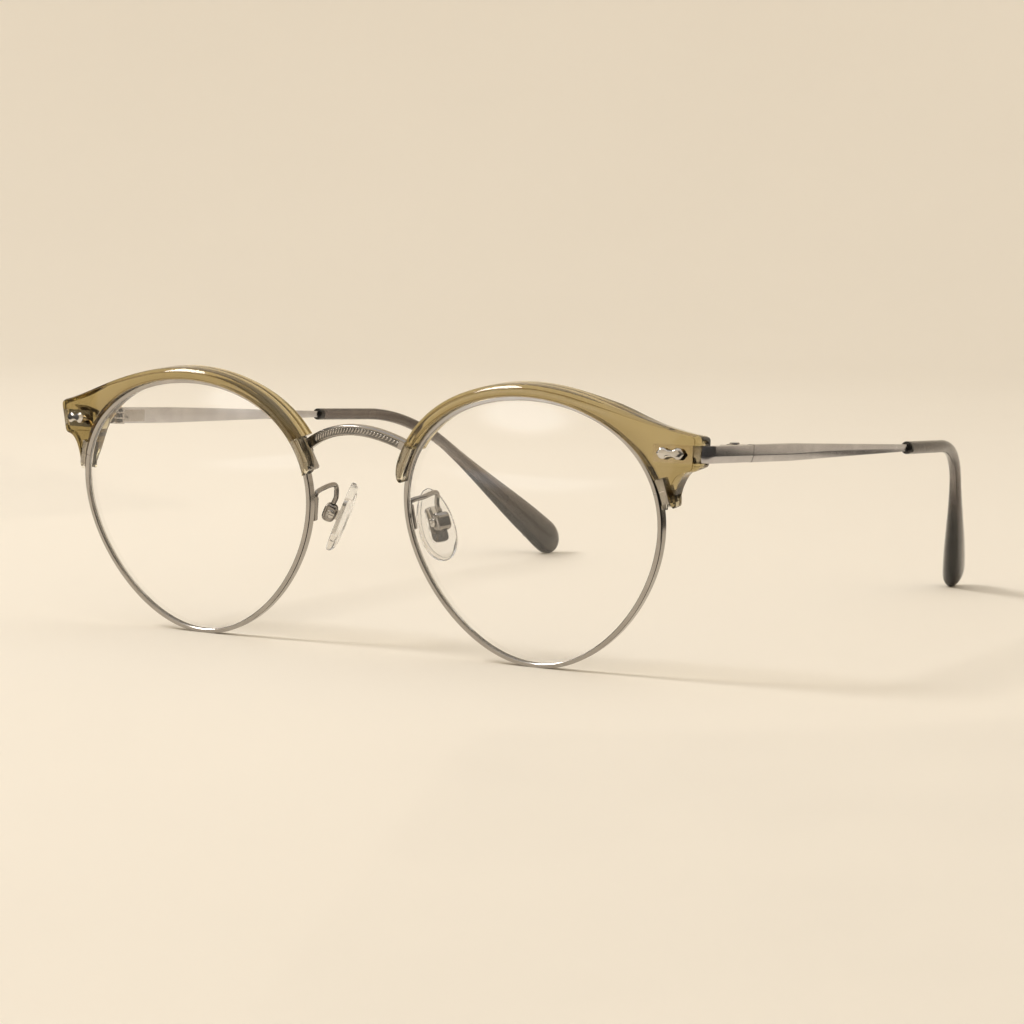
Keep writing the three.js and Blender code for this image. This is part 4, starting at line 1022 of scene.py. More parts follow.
def plate(name, outline, low, high):
    """A flat plate whose outline is a list of points in X and Y, from low to high along Z."""
    return loft(name, [[Vector((x, y, height)) for x, y in outline] for height in (low, high)])


def strap_channel(room, ends_at=None):
    outer = strap_line(BAR_THICKNESS / 2 + room)
    start = outer[0] - leg_line * room
    back = start - leg_front * (BAR_THICKNESS + 2 * room)
    outline = [start, *outer[1:], Vector((back.x, -BUTT_GAP / 2)), back]
    if ends_at:
        outline = [start, start + leg_line * ends_at, back + leg_line * ends_at, back]
    half = STRAP_HEIGHT / 2 + room
    return move(plate("strap_channel", outline, -half, half), in_front)


def brow():
    body = loft("brow_bar_left", [rounded(brow_section(*station), BROW_EDGE, 4) for station in brow_edge()])
    body.data.materials.append(khaki)
    lock_room = block("lock_room", (-RIM_WALL, LOCK_FRONT - FIT, -2 * LOCK_HEIGHT),
                      (LOCK_OUT + FIT, LOCK_BACK + FIT, LOCK_HEIGHT / 2 + FIT))
    foot_room = block("foot_room", (RIM_OUT - SEAT, FOOT_FRONT - FIT, -FOOT_HEIGHT / 2 - FIT),
                      (FOOT_OUT + FIT, FAR_BACK, FOOT_HEIGHT / 2 + FOOT_TOE + FIT))
    relief = block("relief", (-2 * BROW_LIP, TAB_BACK, -FOOT_HEIGHT / 2 - FIT),
                   (FAR_BACK, FAR_BACK, FAR_BACK))
    pins = [move(pin, in_front) for pin in rivet_holes(0, BROW_FRONT + BROW_BACK + BAR_THICKNESS, FIT)]
    lining = strap_channel(SEAT, LINED_LEG)
    lining.data.materials.append(silvered)
    cut(body, move(lock_room, lock_place), move(foot_room, foot_place), move(relief, foot_place),
        bridge_arch("bridge_room", FIT, FAR_BACK, BRIDGE_CHAMFER), strap_channel(FIT), lining, *pins)
    return move(smooth(body, BROW_SMOOTH), FRONT)


hand_over_pair(brow(), khaki, "brow")

# %% [markdown]
# The rivet on the wing is a waisted bar with pointed ends and bevelled sides, and two pins that go
# through the acetate into the strap. A bevel would slope the ends as much as the sides. So its outline is
# drawn once and lofted up in layers that draw in, less along its length than across it.

# %% Rivets
RIVET_LENGTH, RIVET_WIDTH, RIVET_WAIST, RIVET_PROUD = 4.75, 1.95, 1.2, 0.45
RIVET_POINT, RIVET_POINT_WIDTH, RIVET_SHOULDER, RIVET_NECK = 0.62, 0.9, 1.3, 1.95
RIVET_EDGE, RIVET_END_SLOPE = 0.16, 0.45
RIVET_LAYERS = [(1.0, 0), (1.0, 0.3), (0.97, 0.4), (0.6, 0.96), (0.5, 1.02), (0.25, 1.06), (0.02, 1.08)]
FACE_TRIES = 20
CRISP = 40


def rivet_reach():
    """Distance from the strap's middle out to the brow's face, along the rivet's axis."""
    place = in_front @ rivet_place
    axis = (place.to_3x3() @ Vector((0, 0, 1))).normalized()
    point = place.translation.copy()
    for _ in range(FACE_TRIES):
        point = point + axis * ((sweep_back(point.x) - BROW_FRONT - point.y) / axis.y)
    return (point - place.translation).length


def rivet_outline():
    """A quarter of the outline, from the point to the waist, mirrored both ways."""
    end, half, waist = RIVET_LENGTH / 2, RIVET_WIDTH / 2, RIVET_WAIST / 2
    quarter = [(end, 0), (end - RIVET_POINT, half * RIVET_POINT_WIDTH), (end - RIVET_SHOULDER, half),
               (end - RIVET_NECK, waist)]
    upper = quarter + [(-x, y) for x, y in reversed(quarter)]
    return rounded(upper + [(x, -y) for x, y in reversed(upper[1:-1])], RIVET_EDGE, 3)


def rivet():
    back = rivet_reach() + SEAT
    outline = rivet_outline()
    rings = []
    for share, rise in RIVET_LAYERS:
        height = back + rise * RIVET_PROUD
        along = between(1, share, RIVET_END_SLOPE)
        rings.append([Vector((p.x * along, p.y * share, height)) for p in outline])
    bar = loft("rivet_bar_left", rings)
    for x in (-RIVET_PITCH / 2, RIVET_PITCH / 2):
        pin = rod("pin", RIVET_PIN, -BAR_THICKNESS / 2, back + RIVET_PROUD / 4)
        weld(bar, move(pin, Matrix.Translation((x, 0, 0))))
    return move(smooth(bar, CRISP), TEMPLE @ rivet_place)


hand_over_pair(rivet(), steel, "brow_rivet")

# %% [markdown]
# The bridge's face carries a rope of small slanted leaves, as old cast bridges do. A bump in the finish
# would be lost at the edge of the bridge, so they are real shapes. Each leaf is a stretched sphere, half
# sunk in the face. One is made for every step along the arch, and all are joined.

# %% Leaves of the bridge
LEAF_PITCH, LEAF_TILT, LEAF_REACH = 0.6, math.radians(38), 8.4
LEAF_SIZE = Vector((0.215, 0.22, 0.6))
LEAF_SEGMENTS, LEAF_CIRCLES = 14, 8
LEAF_STEPS = round(2 * LEAF_REACH / LEAF_PITCH)
CHANNEL_DEPTH = 0.13


def bridge_leaf(x):
    deselect()
    bpy.ops.mesh.primitive_uv_sphere_add(segments=LEAF_SEGMENTS, ring_count=LEAF_CIRCLES, radius=1)
    leaf = named("leaf")
    leaf.scale = LEAF_SIZE
    bpy.ops.object.transform_apply()
    face = bridge_middle(x) - BACKWARD * (BRIDGE_DEPTH / 2 - CHANNEL_DEPTH)
    return move(leaf, Matrix.Translation(face) @ Matrix.Rotation(LEAF_TILT - bridge_slope(x), 4, "Y"))


def leaf_rope():
    leaves = [bridge_leaf(x) for x in steps(-LEAF_REACH, LEAF_REACH, LEAF_STEPS)]
    choose(leaves[0])
    for leaf in leaves:
        leaf.select_set(True)
    bpy.ops.object.join()
    return bpy.context.object


print("leaves on the bridge:", LEAF_STEPS + 1)

# %% [markdown]
# The bridge itself is a cast arch with a foot on each rim. The leaves lie in a shallow channel whose
# floor is darkened, so they stand out. A small screw from behind holds each brow tab to its foot.

# %% Bridge
CHANNEL_HEIGHT, CHANNEL_PAST, CHANNEL_CORNER = 1.24, 0.3, 0.05
BRIDGE_ROUND, FOOT_EDGE = 0.5, 0.4
TAB_SCREW, TAB_SCREW_LENGTH = 0.3, 2.8
TAB_HEAD, TAB_HEAD_HEIGHT = 0.55, 0.3
tab_screw_place = foot_place @ Matrix.Translation((FOOT_OUT - FOOT_WIDTH / 2, FOOT_BACK, 0))
tab_screw_place = tab_screw_place @ Matrix.Rotation(-math.pi / 2, 4, "X")


def bridge_foot():
    reach = FOOT_HEIGHT / 2
    foot = block("foot", (RIM_OUT + SEAT, FOOT_FRONT, -reach), (FOOT_OUT, FOOT_BACK, reach + FOOT_TOE))
    return move(soften(foot, FOOT_EDGE, 4), foot_place)


def bridge():
    bar = bridge_arch("bridge_bar", 0, BRIDGE_DEPTH / 2, BRIDGE_ROUND)
    left_foot = bridge_foot()
    weld(bar, left_foot, other_side(left_foot))
    bar.data.materials.append(gunmetal)
    channel = arched("channel", -BRIDGE_DEPTH, CHANNEL_DEPTH - BRIDGE_DEPTH / 2, CHANNEL_HEIGHT,
                     LEAF_REACH + CHANNEL_PAST, CHANNEL_CORNER)
    channel.data.materials.append(oxidised)
    cut(bar, channel)
    hole = move(rod("hole", TAB_SCREW + SEAT, -TAB_SCREW_LENGTH, FOOT_BACK), tab_screw_place)
    cut(bar, hole, other_side(hole))
    weld(bar, leaf_rope())
    return move(smooth(bar, CRISP), FRONT)


hand_over(bridge(), gunmetal, "front", "bridge")
tab_screw = slotted_screw("tab_screw_left", TAB_SCREW, TAB_SCREW_LENGTH, TAB_HEAD, TAB_HEAD_HEIGHT)
hand_over_pair(move(tab_screw, FRONT @ tab_screw_place @ Matrix.Translation((0, 0, SEAT))),
               steel, "brow_screw")

# %% [markdown]
# The temple runs straight back from the hinge, thins to a wire inside the tip, bends down behind the ear
# and toes in towards the head. The bar and the sleeve are lofts along that one line, so a distance along
# it gives a point, and a section is set square to it there.

# %% Temple line
BEND_START, BEND_RADIUS, BEND_ANGLE = 84, 38, math.radians(37.27)
TOE_IN, TOE_START, TOE_EASE = 0.32, 86.7, 12
TEMPLE_LENGTH = 144.6
NEARBY = 0.01


def temple_point(s):
    turned = min(max((s - BEND_START) / BEND_RADIUS, 0), BEND_ANGLE)
    past = max(0, s - BEND_START - BEND_RADIUS * BEND_ANGLE)
    run = min(s, BEND_START) + BEND_RADIUS * math.sin(turned) + past * math.cos(BEND_ANGLE)
    fall = BEND_RADIUS * (1 - math.cos(turned)) + past * math.sin(BEND_ANGLE)

    def eased(toe):
        return (toe + math.hypot(toe, TOE_EASE)) / 2

    return Vector((-TOE_IN * (eased(s - TOE_START) - eased(-TOE_START)), run, -fall))


def temple_section(s, profile):
    along = (temple_point(s + NEARBY) - temple_point(s - NEARBY)).normalized()
    outward = Vector((1, 0, 0)) - along * along.x
    outward.normalize()
    upward = outward.cross(along)
    return [temple_point(s) + outward * out + upward * rise for out, rise in profile]


print("temple ends at, mm:", [round(v, 2) for v in temple_point(TEMPLE_LENGTH)])

# %% [markdown]
# The temple bar keeps the strap's section past the hinge, then tapers evenly to the wire core that the
# sleeve is pushed onto. Stations are far apart where it is straight and close where it bends.

# %% Temple bars
BAR_HEIGHT, BAR_END_HEIGHT, BAR_END_THICKNESS = 3.0, 1.3, 0.95
BAR_FULL_LENGTH, SLEEVE_START, CORE_END, CORE_STATIONS = 16, 65.5, 127.1, 40
STRAIGHT_STATIONS = [4, 8, 12, 16, 22, 30, 40, 50, 60]


def bar_profile(s, grow):
    taper = min(1, max(0, (s - BAR_FULL_LENGTH) / (SLEEVE_START - BAR_FULL_LENGTH)))
    thickness = between(BAR_THICKNESS, BAR_END_THICKNESS, taper) + 2 * grow
    return rounded(bar_section(thickness, between(BAR_HEIGHT, BAR_END_HEIGHT, taper) + 2 * grow), BAR_EDGE)


def temple_bar():
    stations = [BUTT_GAP / 2, *STRAIGHT_STATIONS, *steps(SLEEVE_START, CORE_END, CORE_STATIONS)]
    bar = loft("temple_bar_left", [temple_section(s, bar_profile(s, 0)) for s in stations])
    return move(smooth(bar), TEMPLE)


hand_over_pair(temple_bar(), brushed, "temple", "temple_arm")

# %% [markdown]
# The tip is a moulded sleeve that swells to a paddle and closes in a round end. Its sections are
# ellipses. The room for the core is cut by a loft of the bar's own section, a hair smaller, so that
# the core shows in the smoke acetate with no air round it.

# %% Temple tips
SLEEVE_HEIGHT, SLEEVE_THICKNESS = 2.4, 2.3
PADDLE_HEIGHT, PADDLE_THICKNESS = 7.6, 4.3
PADDLE_FULL = TEMPLE_LENGTH - 4.1
PADDLE_START = PADDLE_FULL - 34.5
SLEEVE_POINTS, SLEEVE_STATIONS, END_STATIONS = 36, 48, 14
MOUTH_BAND, MOUTH_ROUND, MOUTH_EASE = 1.4, 0.3, 0.1
SLEEVE_PLAIN = SLEEVE_START + 2
END_POLE = 0.02


def sleeve_profile(s):
    swell = ease(s, PADDLE_START, PADDLE_FULL)
    close = max(0, (s - PADDLE_FULL) / (TEMPLE_LENGTH - PADDLE_FULL))
    mouth = max(0, 1 - (s - SLEEVE_START) / MOUTH_ROUND)
    share = math.sqrt(max(END_POLE ** 2, 1 - close ** 2)) / 2 * (1 - MOUTH_EASE * mouth ** 2)
    height = between(SLEEVE_HEIGHT, PADDLE_HEIGHT, swell) * share
    thickness = between(SLEEVE_THICKNESS, PADDLE_THICKNESS, swell) * share
    return [(thickness * math.cos(t), height * math.sin(t)) for t in full_turn(SLEEVE_POINTS, 0.5)]


def tip_sleeve():
    mouth = [*steps(SLEEVE_START, SLEEVE_START + MOUTH_ROUND, 3), SLEEVE_START + MOUTH_BAND]
    end = [PADDLE_FULL + (TEMPLE_LENGTH - PADDLE_FULL) * math.sin(math.pi / 2 * share)
           for share in steps(0, 1, END_STATIONS)]
    stations = [*mouth, *steps(SLEEVE_PLAIN, PADDLE_FULL, SLEEVE_STATIONS)[:-1], *end]
    sleeve = loft("tip_sleeve_left", [temple_section(s, sleeve_profile(s)) for s in stations])
    room = [SLEEVE_START - SEAT, *steps(SLEEVE_START, CORE_END, CORE_STATIONS)[1:-1], CORE_END + SEAT]
    cut(sleeve, loft("core_room", [temple_section(s, bar_profile(s, FIT)) for s in room]))
    for material in (smoke, dark_mouth_band):
        sleeve.data.materials.append(material)
    # Faces near the mouth take the near-black band.
    for face in sleeve.data.polygons:
        face.material_index = int(face.center.y < SLEEVE_START + MOUTH_BAND)
    return move(smooth(sleeve, CRISP), TEMPLE)


hand_over_pair(tip_sleeve(), smoke, "temple_tip", "temple_arm")

# %% [markdown]
# The hinge has three barrels on one screw: two belong to the front and one to the temple. Both leaves are
# soldered to the inside of the bars. Each is a box with a barrel welded on. The front's barrel is slotted
# for the temple's, with a little room in which it turns.

# %% Hinges
KNUCKLE, KNUCKLE_GAP, HINGE_EDGE = 1.3, 0.1, 0.06
LEAF_THICKNESS, FRONT_LEAF, TEMPLE_LEAF = 0.9, 8, 6.6
LEAF_OUT = -BAR_THICKNESS / 2 - SEAT
LEAF_IN = LEAF_OUT - LEAF_THICKNESS
TIER = STRAP_HEIGHT / 6
HINGE_PIN, HINGE_HEAD, HINGE_HEAD_HEIGHT = 0.5, 0.85, 0.3
TURNING_ROOM = 0.05
hinge_place = Matrix.Translation(HINGE_IN_TEMPLE)


def hinge_hole(room):
    return move(rod("hole", HINGE_PIN + room, -STRAP_HEIGHT, STRAP_HEIGHT), hinge_place)


def front_hinge():
    half = STRAP_HEIGHT / 2
    leaf = block("hinge_front_left", (LEAF_IN, -FRONT_LEAF, -half), (LEAF_OUT, -BUTT_GAP / 2, half))
    weld(leaf, move(rod("barrel", KNUCKLE, -half, half), hinge_place))
    room = KNUCKLE + KNUCKLE_GAP
    slot = block("slot", (-3 * room, -room, -TIER - KNUCKLE_GAP), (room, 3 * room, TIER + KNUCKLE_GAP))
    cut(leaf, move(slot, hinge_place), hinge_hole(SEAT))
    return move(soften(leaf, HINGE_EDGE), TEMPLE)


def temple_hinge():
    half = BAR_HEIGHT / 2 - BAR_BEVEL_INSET
    leaf = block("hinge_back_left", (LEAF_IN, BUTT_GAP / 2, -half), (LEAF_OUT, TEMPLE_LEAF, half))
    web = block("web", (LEAF_IN, HINGE_IN_TEMPLE.y, -TIER), (LEAF_OUT, BUTT_GAP, TIER))
    weld(leaf, web, move(rod("barrel", KNUCKLE, -TIER, TIER), hinge_place))
    cut(leaf, hinge_hole(TURNING_ROOM))
    return move(soften(leaf, HINGE_EDGE), TEMPLE)


hand_over_pair(front_hinge(), gunmetal, "front_hinge")
hand_over_pair(temple_hinge(), gunmetal, "temple_hinge", "temple_arm")
hinge_pin = slotted_screw("hinge_pin_left", HINGE_PIN, STRAP_HEIGHT, HINGE_HEAD, HINGE_HEAD_HEIGHT)
hand_over_pair(move(hinge_pin, TEMPLE @ hinge_place @ Matrix.Translation((0, 0, STRAP_HEIGHT / 2 + SEAT))),
               steel, "hinge_screw")

# %% [markdown]
# Each nose pad is a clear drop of silicone on a small metal plate. The plate's lug turns on a screw in
# a box, and a wire hooks from the back of the rim over to that box. All of them share one place: X
# across the pad, Y up along it and Z out of its back.

# %% Place of the nose pad
PAD_SPLAY, PAD_LEAN = math.radians(28), math.radians(27)
PAD_ORIGIN = Vector((NOSE_GAP / 2 + 0.1, 8.95, RIM_TOP - 25.25))
pad_across = Vector((math.sin(PAD_SPLAY), math.cos(PAD_SPLAY), 0))
pad_up = Vector((-math.sin(PAD_LEAN), 0, math.cos(PAD_LEAN)))
pad_up = (pad_up - pad_across * pad_up.dot(pad_across)).normalized()
pad_place = axes(pad_across, pad_up, pad_across.cross(pad_up), PAD_ORIGIN)
print("pad place, mm:", [round(v, 2) for v in pad_place.translation])

# %% [markdown]
# A squashed sphere would be too thin at its edge. The pad is lofted through rings of a teardrop outline,
# full and round on the side of the nose and nearly flat on its back, where the plate is let in.

# %% Nose pads
PAD_LENGTH, PAD_WIDTH, PAD_TEARDROP, PAD_POINTS = 13.2, 7.0, 0.14, 56
PAD_NOSE_SIDE, PAD_OUTER_SIDE = 1.6, 0.35
PAD_FULLNESS, PAD_DOME, PAD_POLE = 0.55, 0.75, 0.02
PAD_BACK_ROUND, PAD_BACK_SHARE = 0.15, 0.8
CORE_LENGTH, CORE_WIDTH, CORE_THICKNESS = 6.4, 3.2, 0.6
CORE_ROOM_CORNER = 1.1
CORE_FLOOR = PAD_OUTER_SIDE - CORE_THICKNESS


def box_outline(width, height, radius):
    return rounded([(-width / 2, -height / 2), (width / 2, -height / 2), (width / 2, height / 2),
                    (-width / 2, height / 2)], radius, 6)


def pad_ring(share, z):
    ring = []
    for angle in full_turn(PAD_POINTS):
        x = PAD_WIDTH / 2 * math.cos(angle) * (1 - PAD_TEARDROP * math.sin(angle))
        ring.append(Vector((x * share, PAD_LENGTH / 2 * math.sin(angle) * share, z)))
    return ring


def nose_pad():
    nose_side = [
        pad_ring(max(PAD_POLE, math.cos(t) ** PAD_FULLNESS), -PAD_NOSE_SIDE * math.sin(t) ** PAD_DOME)
        for t in steps(math.pi / 2, 0, 16)
    ]
    outer_side = [pad_ring(1 - PAD_BACK_ROUND * (1 - math.cos(t)), PAD_OUTER_SIDE * math.sin(t))
                  for t in steps(0, math.pi / 2, 5)[1:]]
    pad = loft("clear_pad_left", nose_side + outer_side + [pad_ring(PAD_BACK_SHARE, PAD_OUTER_SIDE)])
    room = plate("room", box_outline(CORE_WIDTH + 2 * SEAT, CORE_LENGTH + 2 * SEAT, CORE_ROOM_CORNER),
                 CORE_FLOOR - SEAT, CORE_FLOOR + CORE_THICKNESS * 2)
    return move(smooth(cut(pad, room), CRISP), FRONT @ pad_place)


hand_over_pair(nose_pad(), silicone, "nose_pad", "pad")

# %% [markdown]
# The plate and its lug are cut from sheet and joined. The lug is a flat tongue with a round end, drawn
# lying down and then stood across the pad.

# %% Pad plates
CORE_CORNER, CORE_EDGE = 1.06, 0.05
LUG_WIDTH, LUG_RADIUS, LUG_ROOT, LUG_STEPS, PAD_AXIS = 1.0, 0.85, 0.3, 18, 1.7
PAD_PIN = 0.35
ACROSS = Matrix.Rotation(math.pi / 2, 4, "Y")


def pad_hole(room):
    bore = rod("hole", PAD_PIN + room, -PAD_WIDTH, PAD_WIDTH)
    return move(bore, Matrix.Translation((0, 0, PAD_AXIS)) @ ACROSS)


def stood_across(height):
    """The place of a plate that stands across the pad, at a height over it."""
    return axes(Vector((0, 1, 0)), Vector((0, 0, 1)), Vector((1, 0, 0)), Vector((0, 0, height)))


def pad_plate():
    sheet = box_outline(CORE_WIDTH, CORE_LENGTH, CORE_CORNER)
    core = plate("pad_plate_left", sheet, CORE_FLOOR, PAD_OUTER_SIDE)
    outline = [Vector((LUG_RADIUS * math.cos(t), PAD_AXIS + LUG_RADIUS * math.sin(t)))
               for t in steps(0, math.pi, LUG_STEPS)]
    outline += [Vector((side * LUG_RADIUS, CORE_FLOOR + LUG_ROOT)) for side in (-1, 1)]
    lug = plate("lug", outline, -LUG_WIDTH / 2, LUG_WIDTH / 2)
    cut(weld(core, move(lug, stood_across(0))), pad_hole(TURNING_ROOM))
    return move(soften(core, CORE_EDGE), FRONT @ pad_place)


hand_over_pair(pad_plate(), steel, "pad_core", "pad")

# %% [markdown]
# The box that holds the lug is a small polished block with soft corners, slotted from below, with the
# screw across it.

# %% Pad boxes
CUP_LENGTH, CUP_WALL, CUP_FOOT, CUP_CAP = 3.2, 0.8, 0.8, 0.5
CUP_CORNER, CUP_EDGE = 1.1, 0.5
CUP_ROOF = PAD_AXIS + LUG_RADIUS + 2 * SEAT
CUP_TOP = CUP_ROOF + CUP_CAP
CUP_HALF = LUG_WIDTH / 2 + SEAT + CUP_WALL
CUP_MIDDLE = (CUP_FOOT + CUP_TOP) / 2
PAD_HEAD, PAD_HEAD_HEIGHT = 0.75, 0.45


def pad_box():
    cup = plate("pad_box_left", box_outline(CUP_LENGTH, CUP_TOP - CUP_FOOT, CUP_CORNER), -CUP_HALF, CUP_HALF)
    soften(move(cup, stood_across(CUP_MIDDLE)), CUP_EDGE, 5)
    inner = LUG_WIDTH / 2 + SEAT
    slot = block("slot", (-inner, -CUP_LENGTH, 0), (inner, CUP_LENGTH, CUP_ROOF))
    cut(cup, slot, pad_hole(SEAT))
    return move(smooth(cup), FRONT @ pad_place)


hand_over_pair(pad_box(), polished, "pad_cup")
pad_pin = slotted_screw("pad_pin_left", PAD_PIN, 2 * CUP_HALF, PAD_HEAD, PAD_HEAD_HEIGHT)
pad_pin_place = Matrix.Translation((-CUP_HALF - SEAT, 0, PAD_AXIS)) @ Matrix.Rotation(-math.pi / 2, 4, "Y")
hand_over_pair(move(pad_pin, FRONT @ pad_place @ pad_pin_place), steel, "pad_screw")

# %% [markdown]
# The pad wire is bent by pliers from the rim up, over and down to the box. A smooth line through six
# points runs as such a wire does: two on its shoe, two on the arch and two on the box.

# %% Route of the pad wire
WIRE, WIRE_STEPS = 0.45, 9
WIRE_ANGLE, SHOE_HEIGHT, SHOE_DEPTH = 178, 4.4, 0.9
WIRE_ARCH_X, WIRE_ARCH_Z = NOSE_GAP / 2 + 0.6, RIM_TOP - 19.5
WIRE_ARCH_FRONT, WIRE_ARCH_BACK = 4.6, 8.5
SHOE_BACK = RIM_BACK + SEAT
wire_place = rim_place(WIRE_ANGLE)


def spline(points, count):
    """A smooth line through all the points, as a bent wire runs."""
    ends = [points[0] * 2 - points[1], *points, points[-1] * 2 - points[-2]]
    line = []
    for a, b, c, d in zip(ends, ends[1:], ends[2:], ends[3:]):
        for t in steps(0, 1, count)[:-1]:
            line.append((b * 2 + (c - a) * t + (a * 2 - b * 5 + c * 4 - d) * t ** 2
                         + (b * 3 - a - c * 3 + d) * t ** 3) / 2)
    return line + [points[-1]]


def wire_route():
    def on_shoe(up):
        return wire_place @ Vector((0, SHOE_BACK + SHOE_DEPTH / 2, -up))

    def on_cup(up):
        return pad_place @ Vector((0, up, CUP_MIDDLE))

    return spline([
        on_shoe(SHOE_HEIGHT / 6), on_shoe(SHOE_HEIGHT / 2 + WIRE),
        Vector((WIRE_ARCH_X, WIRE_ARCH_FRONT, WIRE_ARCH_Z)),
        Vector((WIRE_ARCH_X, WIRE_ARCH_BACK, WIRE_ARCH_Z)),
        on_cup(CUP_LENGTH), on_cup(CUP_LENGTH / 2 + SEAT),
    ], WIRE_STEPS)


route = wire_route()
print("wire length, mm:", round(sum((b - a).length for a, b in zip(route, route[1:])), 2))

# %% [markdown]
# A small ring is carried along that route for the wire. A curve with a bevel would look the same, but a
# loft can be welded to the shoe, the flat end that is soldered to the back of the rim.

# %% Pad wires
WIRE_SIDES, SHOE_EDGE = 18, 0.15


def pad_wire():
    shoe = plate("pad_wire_left", box_outline(RIM_WALL, SHOE_HEIGHT, RIM_WALL / 2 - SEAT), 0, SHOE_DEPTH)
    move(shoe, axes(Vector((1, 0, 0)), Vector((0, 0, -1)), Vector((0, 1, 0)), Vector((0, SHOE_BACK, 0))))
    move(soften(shoe, SHOE_EDGE, 3), wire_place)
    turn = full_turn(WIRE_SIDES)
    rings = []
    across = Vector((1, 0, 0))
    for before, point, after in zip(route[:1] + route[:-1], route, route[1:] + route[-1:]):
        along = (after - before).normalized()
        across = (across - along * across.dot(along)).normalized()
        upward = along.cross(across)
        rings.append([point + (across * math.cos(t) + upward * math.sin(t)) * WIRE for t in turn])
    weld(shoe, loft("wire", rings))
    return move(smooth(shoe, CRISP), FRONT)


hand_over_pair(pad_wire(), polished, "pad_arm")

# %% [markdown]
# The stage is a pale cove: a floor that curves up all round, so no edge shows from any side. It is
# extruded down from a disc at the top of the wall, a little narrower at each step.

# %% Stage
FLOOR_RADIUS, COVE_RADIUS, WALL_HEIGHT = 0.9, 0.8, 2.2
COVE_SIDES, COVE_STEPS = 96, 16
COVE_DARK, COVE_PALE = (0.93, 0.875, 0.78), (0.94, 0.885, 0.79)
PLASTER_GRAIN, PLASTER_MARKS = 30, 4


def cove():
    """Pushed down from a disc at the top of the wall, so its last face is the floor."""
    deselect()
    radius, height = FLOOR_RADIUS + COVE_RADIUS, WALL_HEIGHT
    bpy.ops.mesh.primitive_circle_add(
        vertices=COVE_SIDES, radius=radius, fill_type="NGON", location=(0, 0, height)
    )
    stage = named("cove")
    bpy.ops.object.transform_apply()
    bpy.ops.object.mode_set(mode="EDIT")
    bpy.ops.mesh.select_all(action="SELECT")
    for angle in steps(math.pi / 2, 0, COVE_STEPS):
        narrower = FLOOR_RADIUS + COVE_RADIUS * math.sin(angle)
        lower = COVE_RADIUS * (1 - math.cos(angle))
        bpy.ops.mesh.extrude_region_move(TRANSFORM_OT_translate={"value": (0, 0, lower - height)})
        bpy.ops.transform.resize(value=(narrower / radius, narrower / radius, 1))
        radius, height = narrower, lower
    mesh = bmesh.from_edit_mesh(stage.data)
    for face in mesh.faces:
        face.select = face.calc_center_median().z > WALL_HEIGHT - MM
    bpy.ops.mesh.delete(type="FACE")
    bpy.ops.object.mode_set(mode="OBJECT")
    return smooth(stage)


def cove_finish():
    material = finish("matt_plaster")
    roughened(material, effect(material, fine_grain, PLASTER_GRAIN, 0.75, 0.9))
    marks = effect(material, handling_marks, PLASTER_MARKS, 0, 1)
    tinted(material, marks.outputs["Value"], COVE_DARK, COVE_PALE)
    return material


stage = cove()
stage.data.materials.append(cove_finish())
print("stage:", len(stage.data.polygons), "faces")

# %% [markdown]
# Polished metal only looks like metal when it has something dark to mirror. Photographers stand black
# cards round the object for that. Here only reflections see them: a ray that reaches a card straight
# through a clear piece passes on, and one that has been reflected, or has gone far inside, meets black.

# %% Finish of the dark cards
CARD_GRAIN, CARD_DARK, CARD_PALE = 40, (0.015, 0.014, 0.013), (0.025, 0.024, 0.022)
STRAIGHT_THROUGH = 2.5


def card_finish():
    """Black in reflections, but not seen straight through a clear piece."""
    material = finish("black_card")
    tree = material.node_tree
    tinted(material, effect(material, fine_grain, CARD_GRAIN, 0, 1).outputs["Value"], CARD_DARK, CARD_PALE)
    path = add_node(tree, "ShaderNodeLightPath")
    inside = add_node(tree, "ShaderNodeMath", {1: STRAIGHT_THROUGH})
    inside.operation = "GREATER_THAN"
    shown = add_node(tree, "ShaderNodeMath")
    shown.operation = "MAXIMUM"
    through = add_node(tree, "ShaderNodeBsdfTransparent")
    link(tree, path, "Ray Depth", inside, 0)
    link(tree, path, "Is Reflection Ray", shown, 0)
    link(tree, inside, "Value", shown, 1)
    blend(material, shown.outputs["Value"], through.outputs["BSDF"], shader_of(material).outputs["BSDF"])
    return material


black = card_finish()
print("card finish:", black.name)

# %% [markdown]
# Each dark card is swept round the glasses from a bent line: along the floor and then up. Two stand at
# the sides, and a small flat one lies behind the wearer's left.

# %% Dark cards
CARD_STEPS, CARD_LIFT = 24, 0.002


def reflected_only(card):
    for kind in ("camera", "diffuse", "volume_scatter", "shadow"):
        setattr(card, "visible_" + kind, False)
    print("card:", card.name, len(card.data.polygons), "faces", [round(v, 2) for v in card.dimensions])
    return card


def dark_card(name, start, end, near, far, top):
    """A bent card from one bearing to another, counted in degrees from the front towards the wearer's left.

    It lies on the floor from its near reach to its far one, and bends up there to its top.
    """
    deselect()
    bpy.ops.mesh.primitive_plane_add(size=1)
    card = named(name)
    bpy.ops.object.mode_set(mode="EDIT")
    bpy.ops.mesh.select_all(action="SELECT")
    bpy.ops.mesh.delete(type="ONLY_FACE")
    mesh = bmesh.from_edit_mesh(card.data)
    corners = [(near, CARD_LIFT), (far, CARD_LIFT), (far, top), (far, top)]
    mesh.verts.ensure_lookup_table()
    for vertex, (radius, height) in zip(mesh.verts, corners):
        vertex.co = (radius * math.sin(math.radians(start)), -radius * math.cos(math.radians(start)), height)
    bmesh.update_edit_mesh(card.data)
    bpy.ops.mesh.select_all(action="SELECT")
    bpy.ops.mesh.spin(steps=CARD_STEPS, angle=math.radians(start - end), center=(0, 0, 0), axis=(0, 0, 1))
    bpy.ops.object.mode_set(mode="OBJECT")
    card.data.materials.append(black)
    return reflected_only(card)


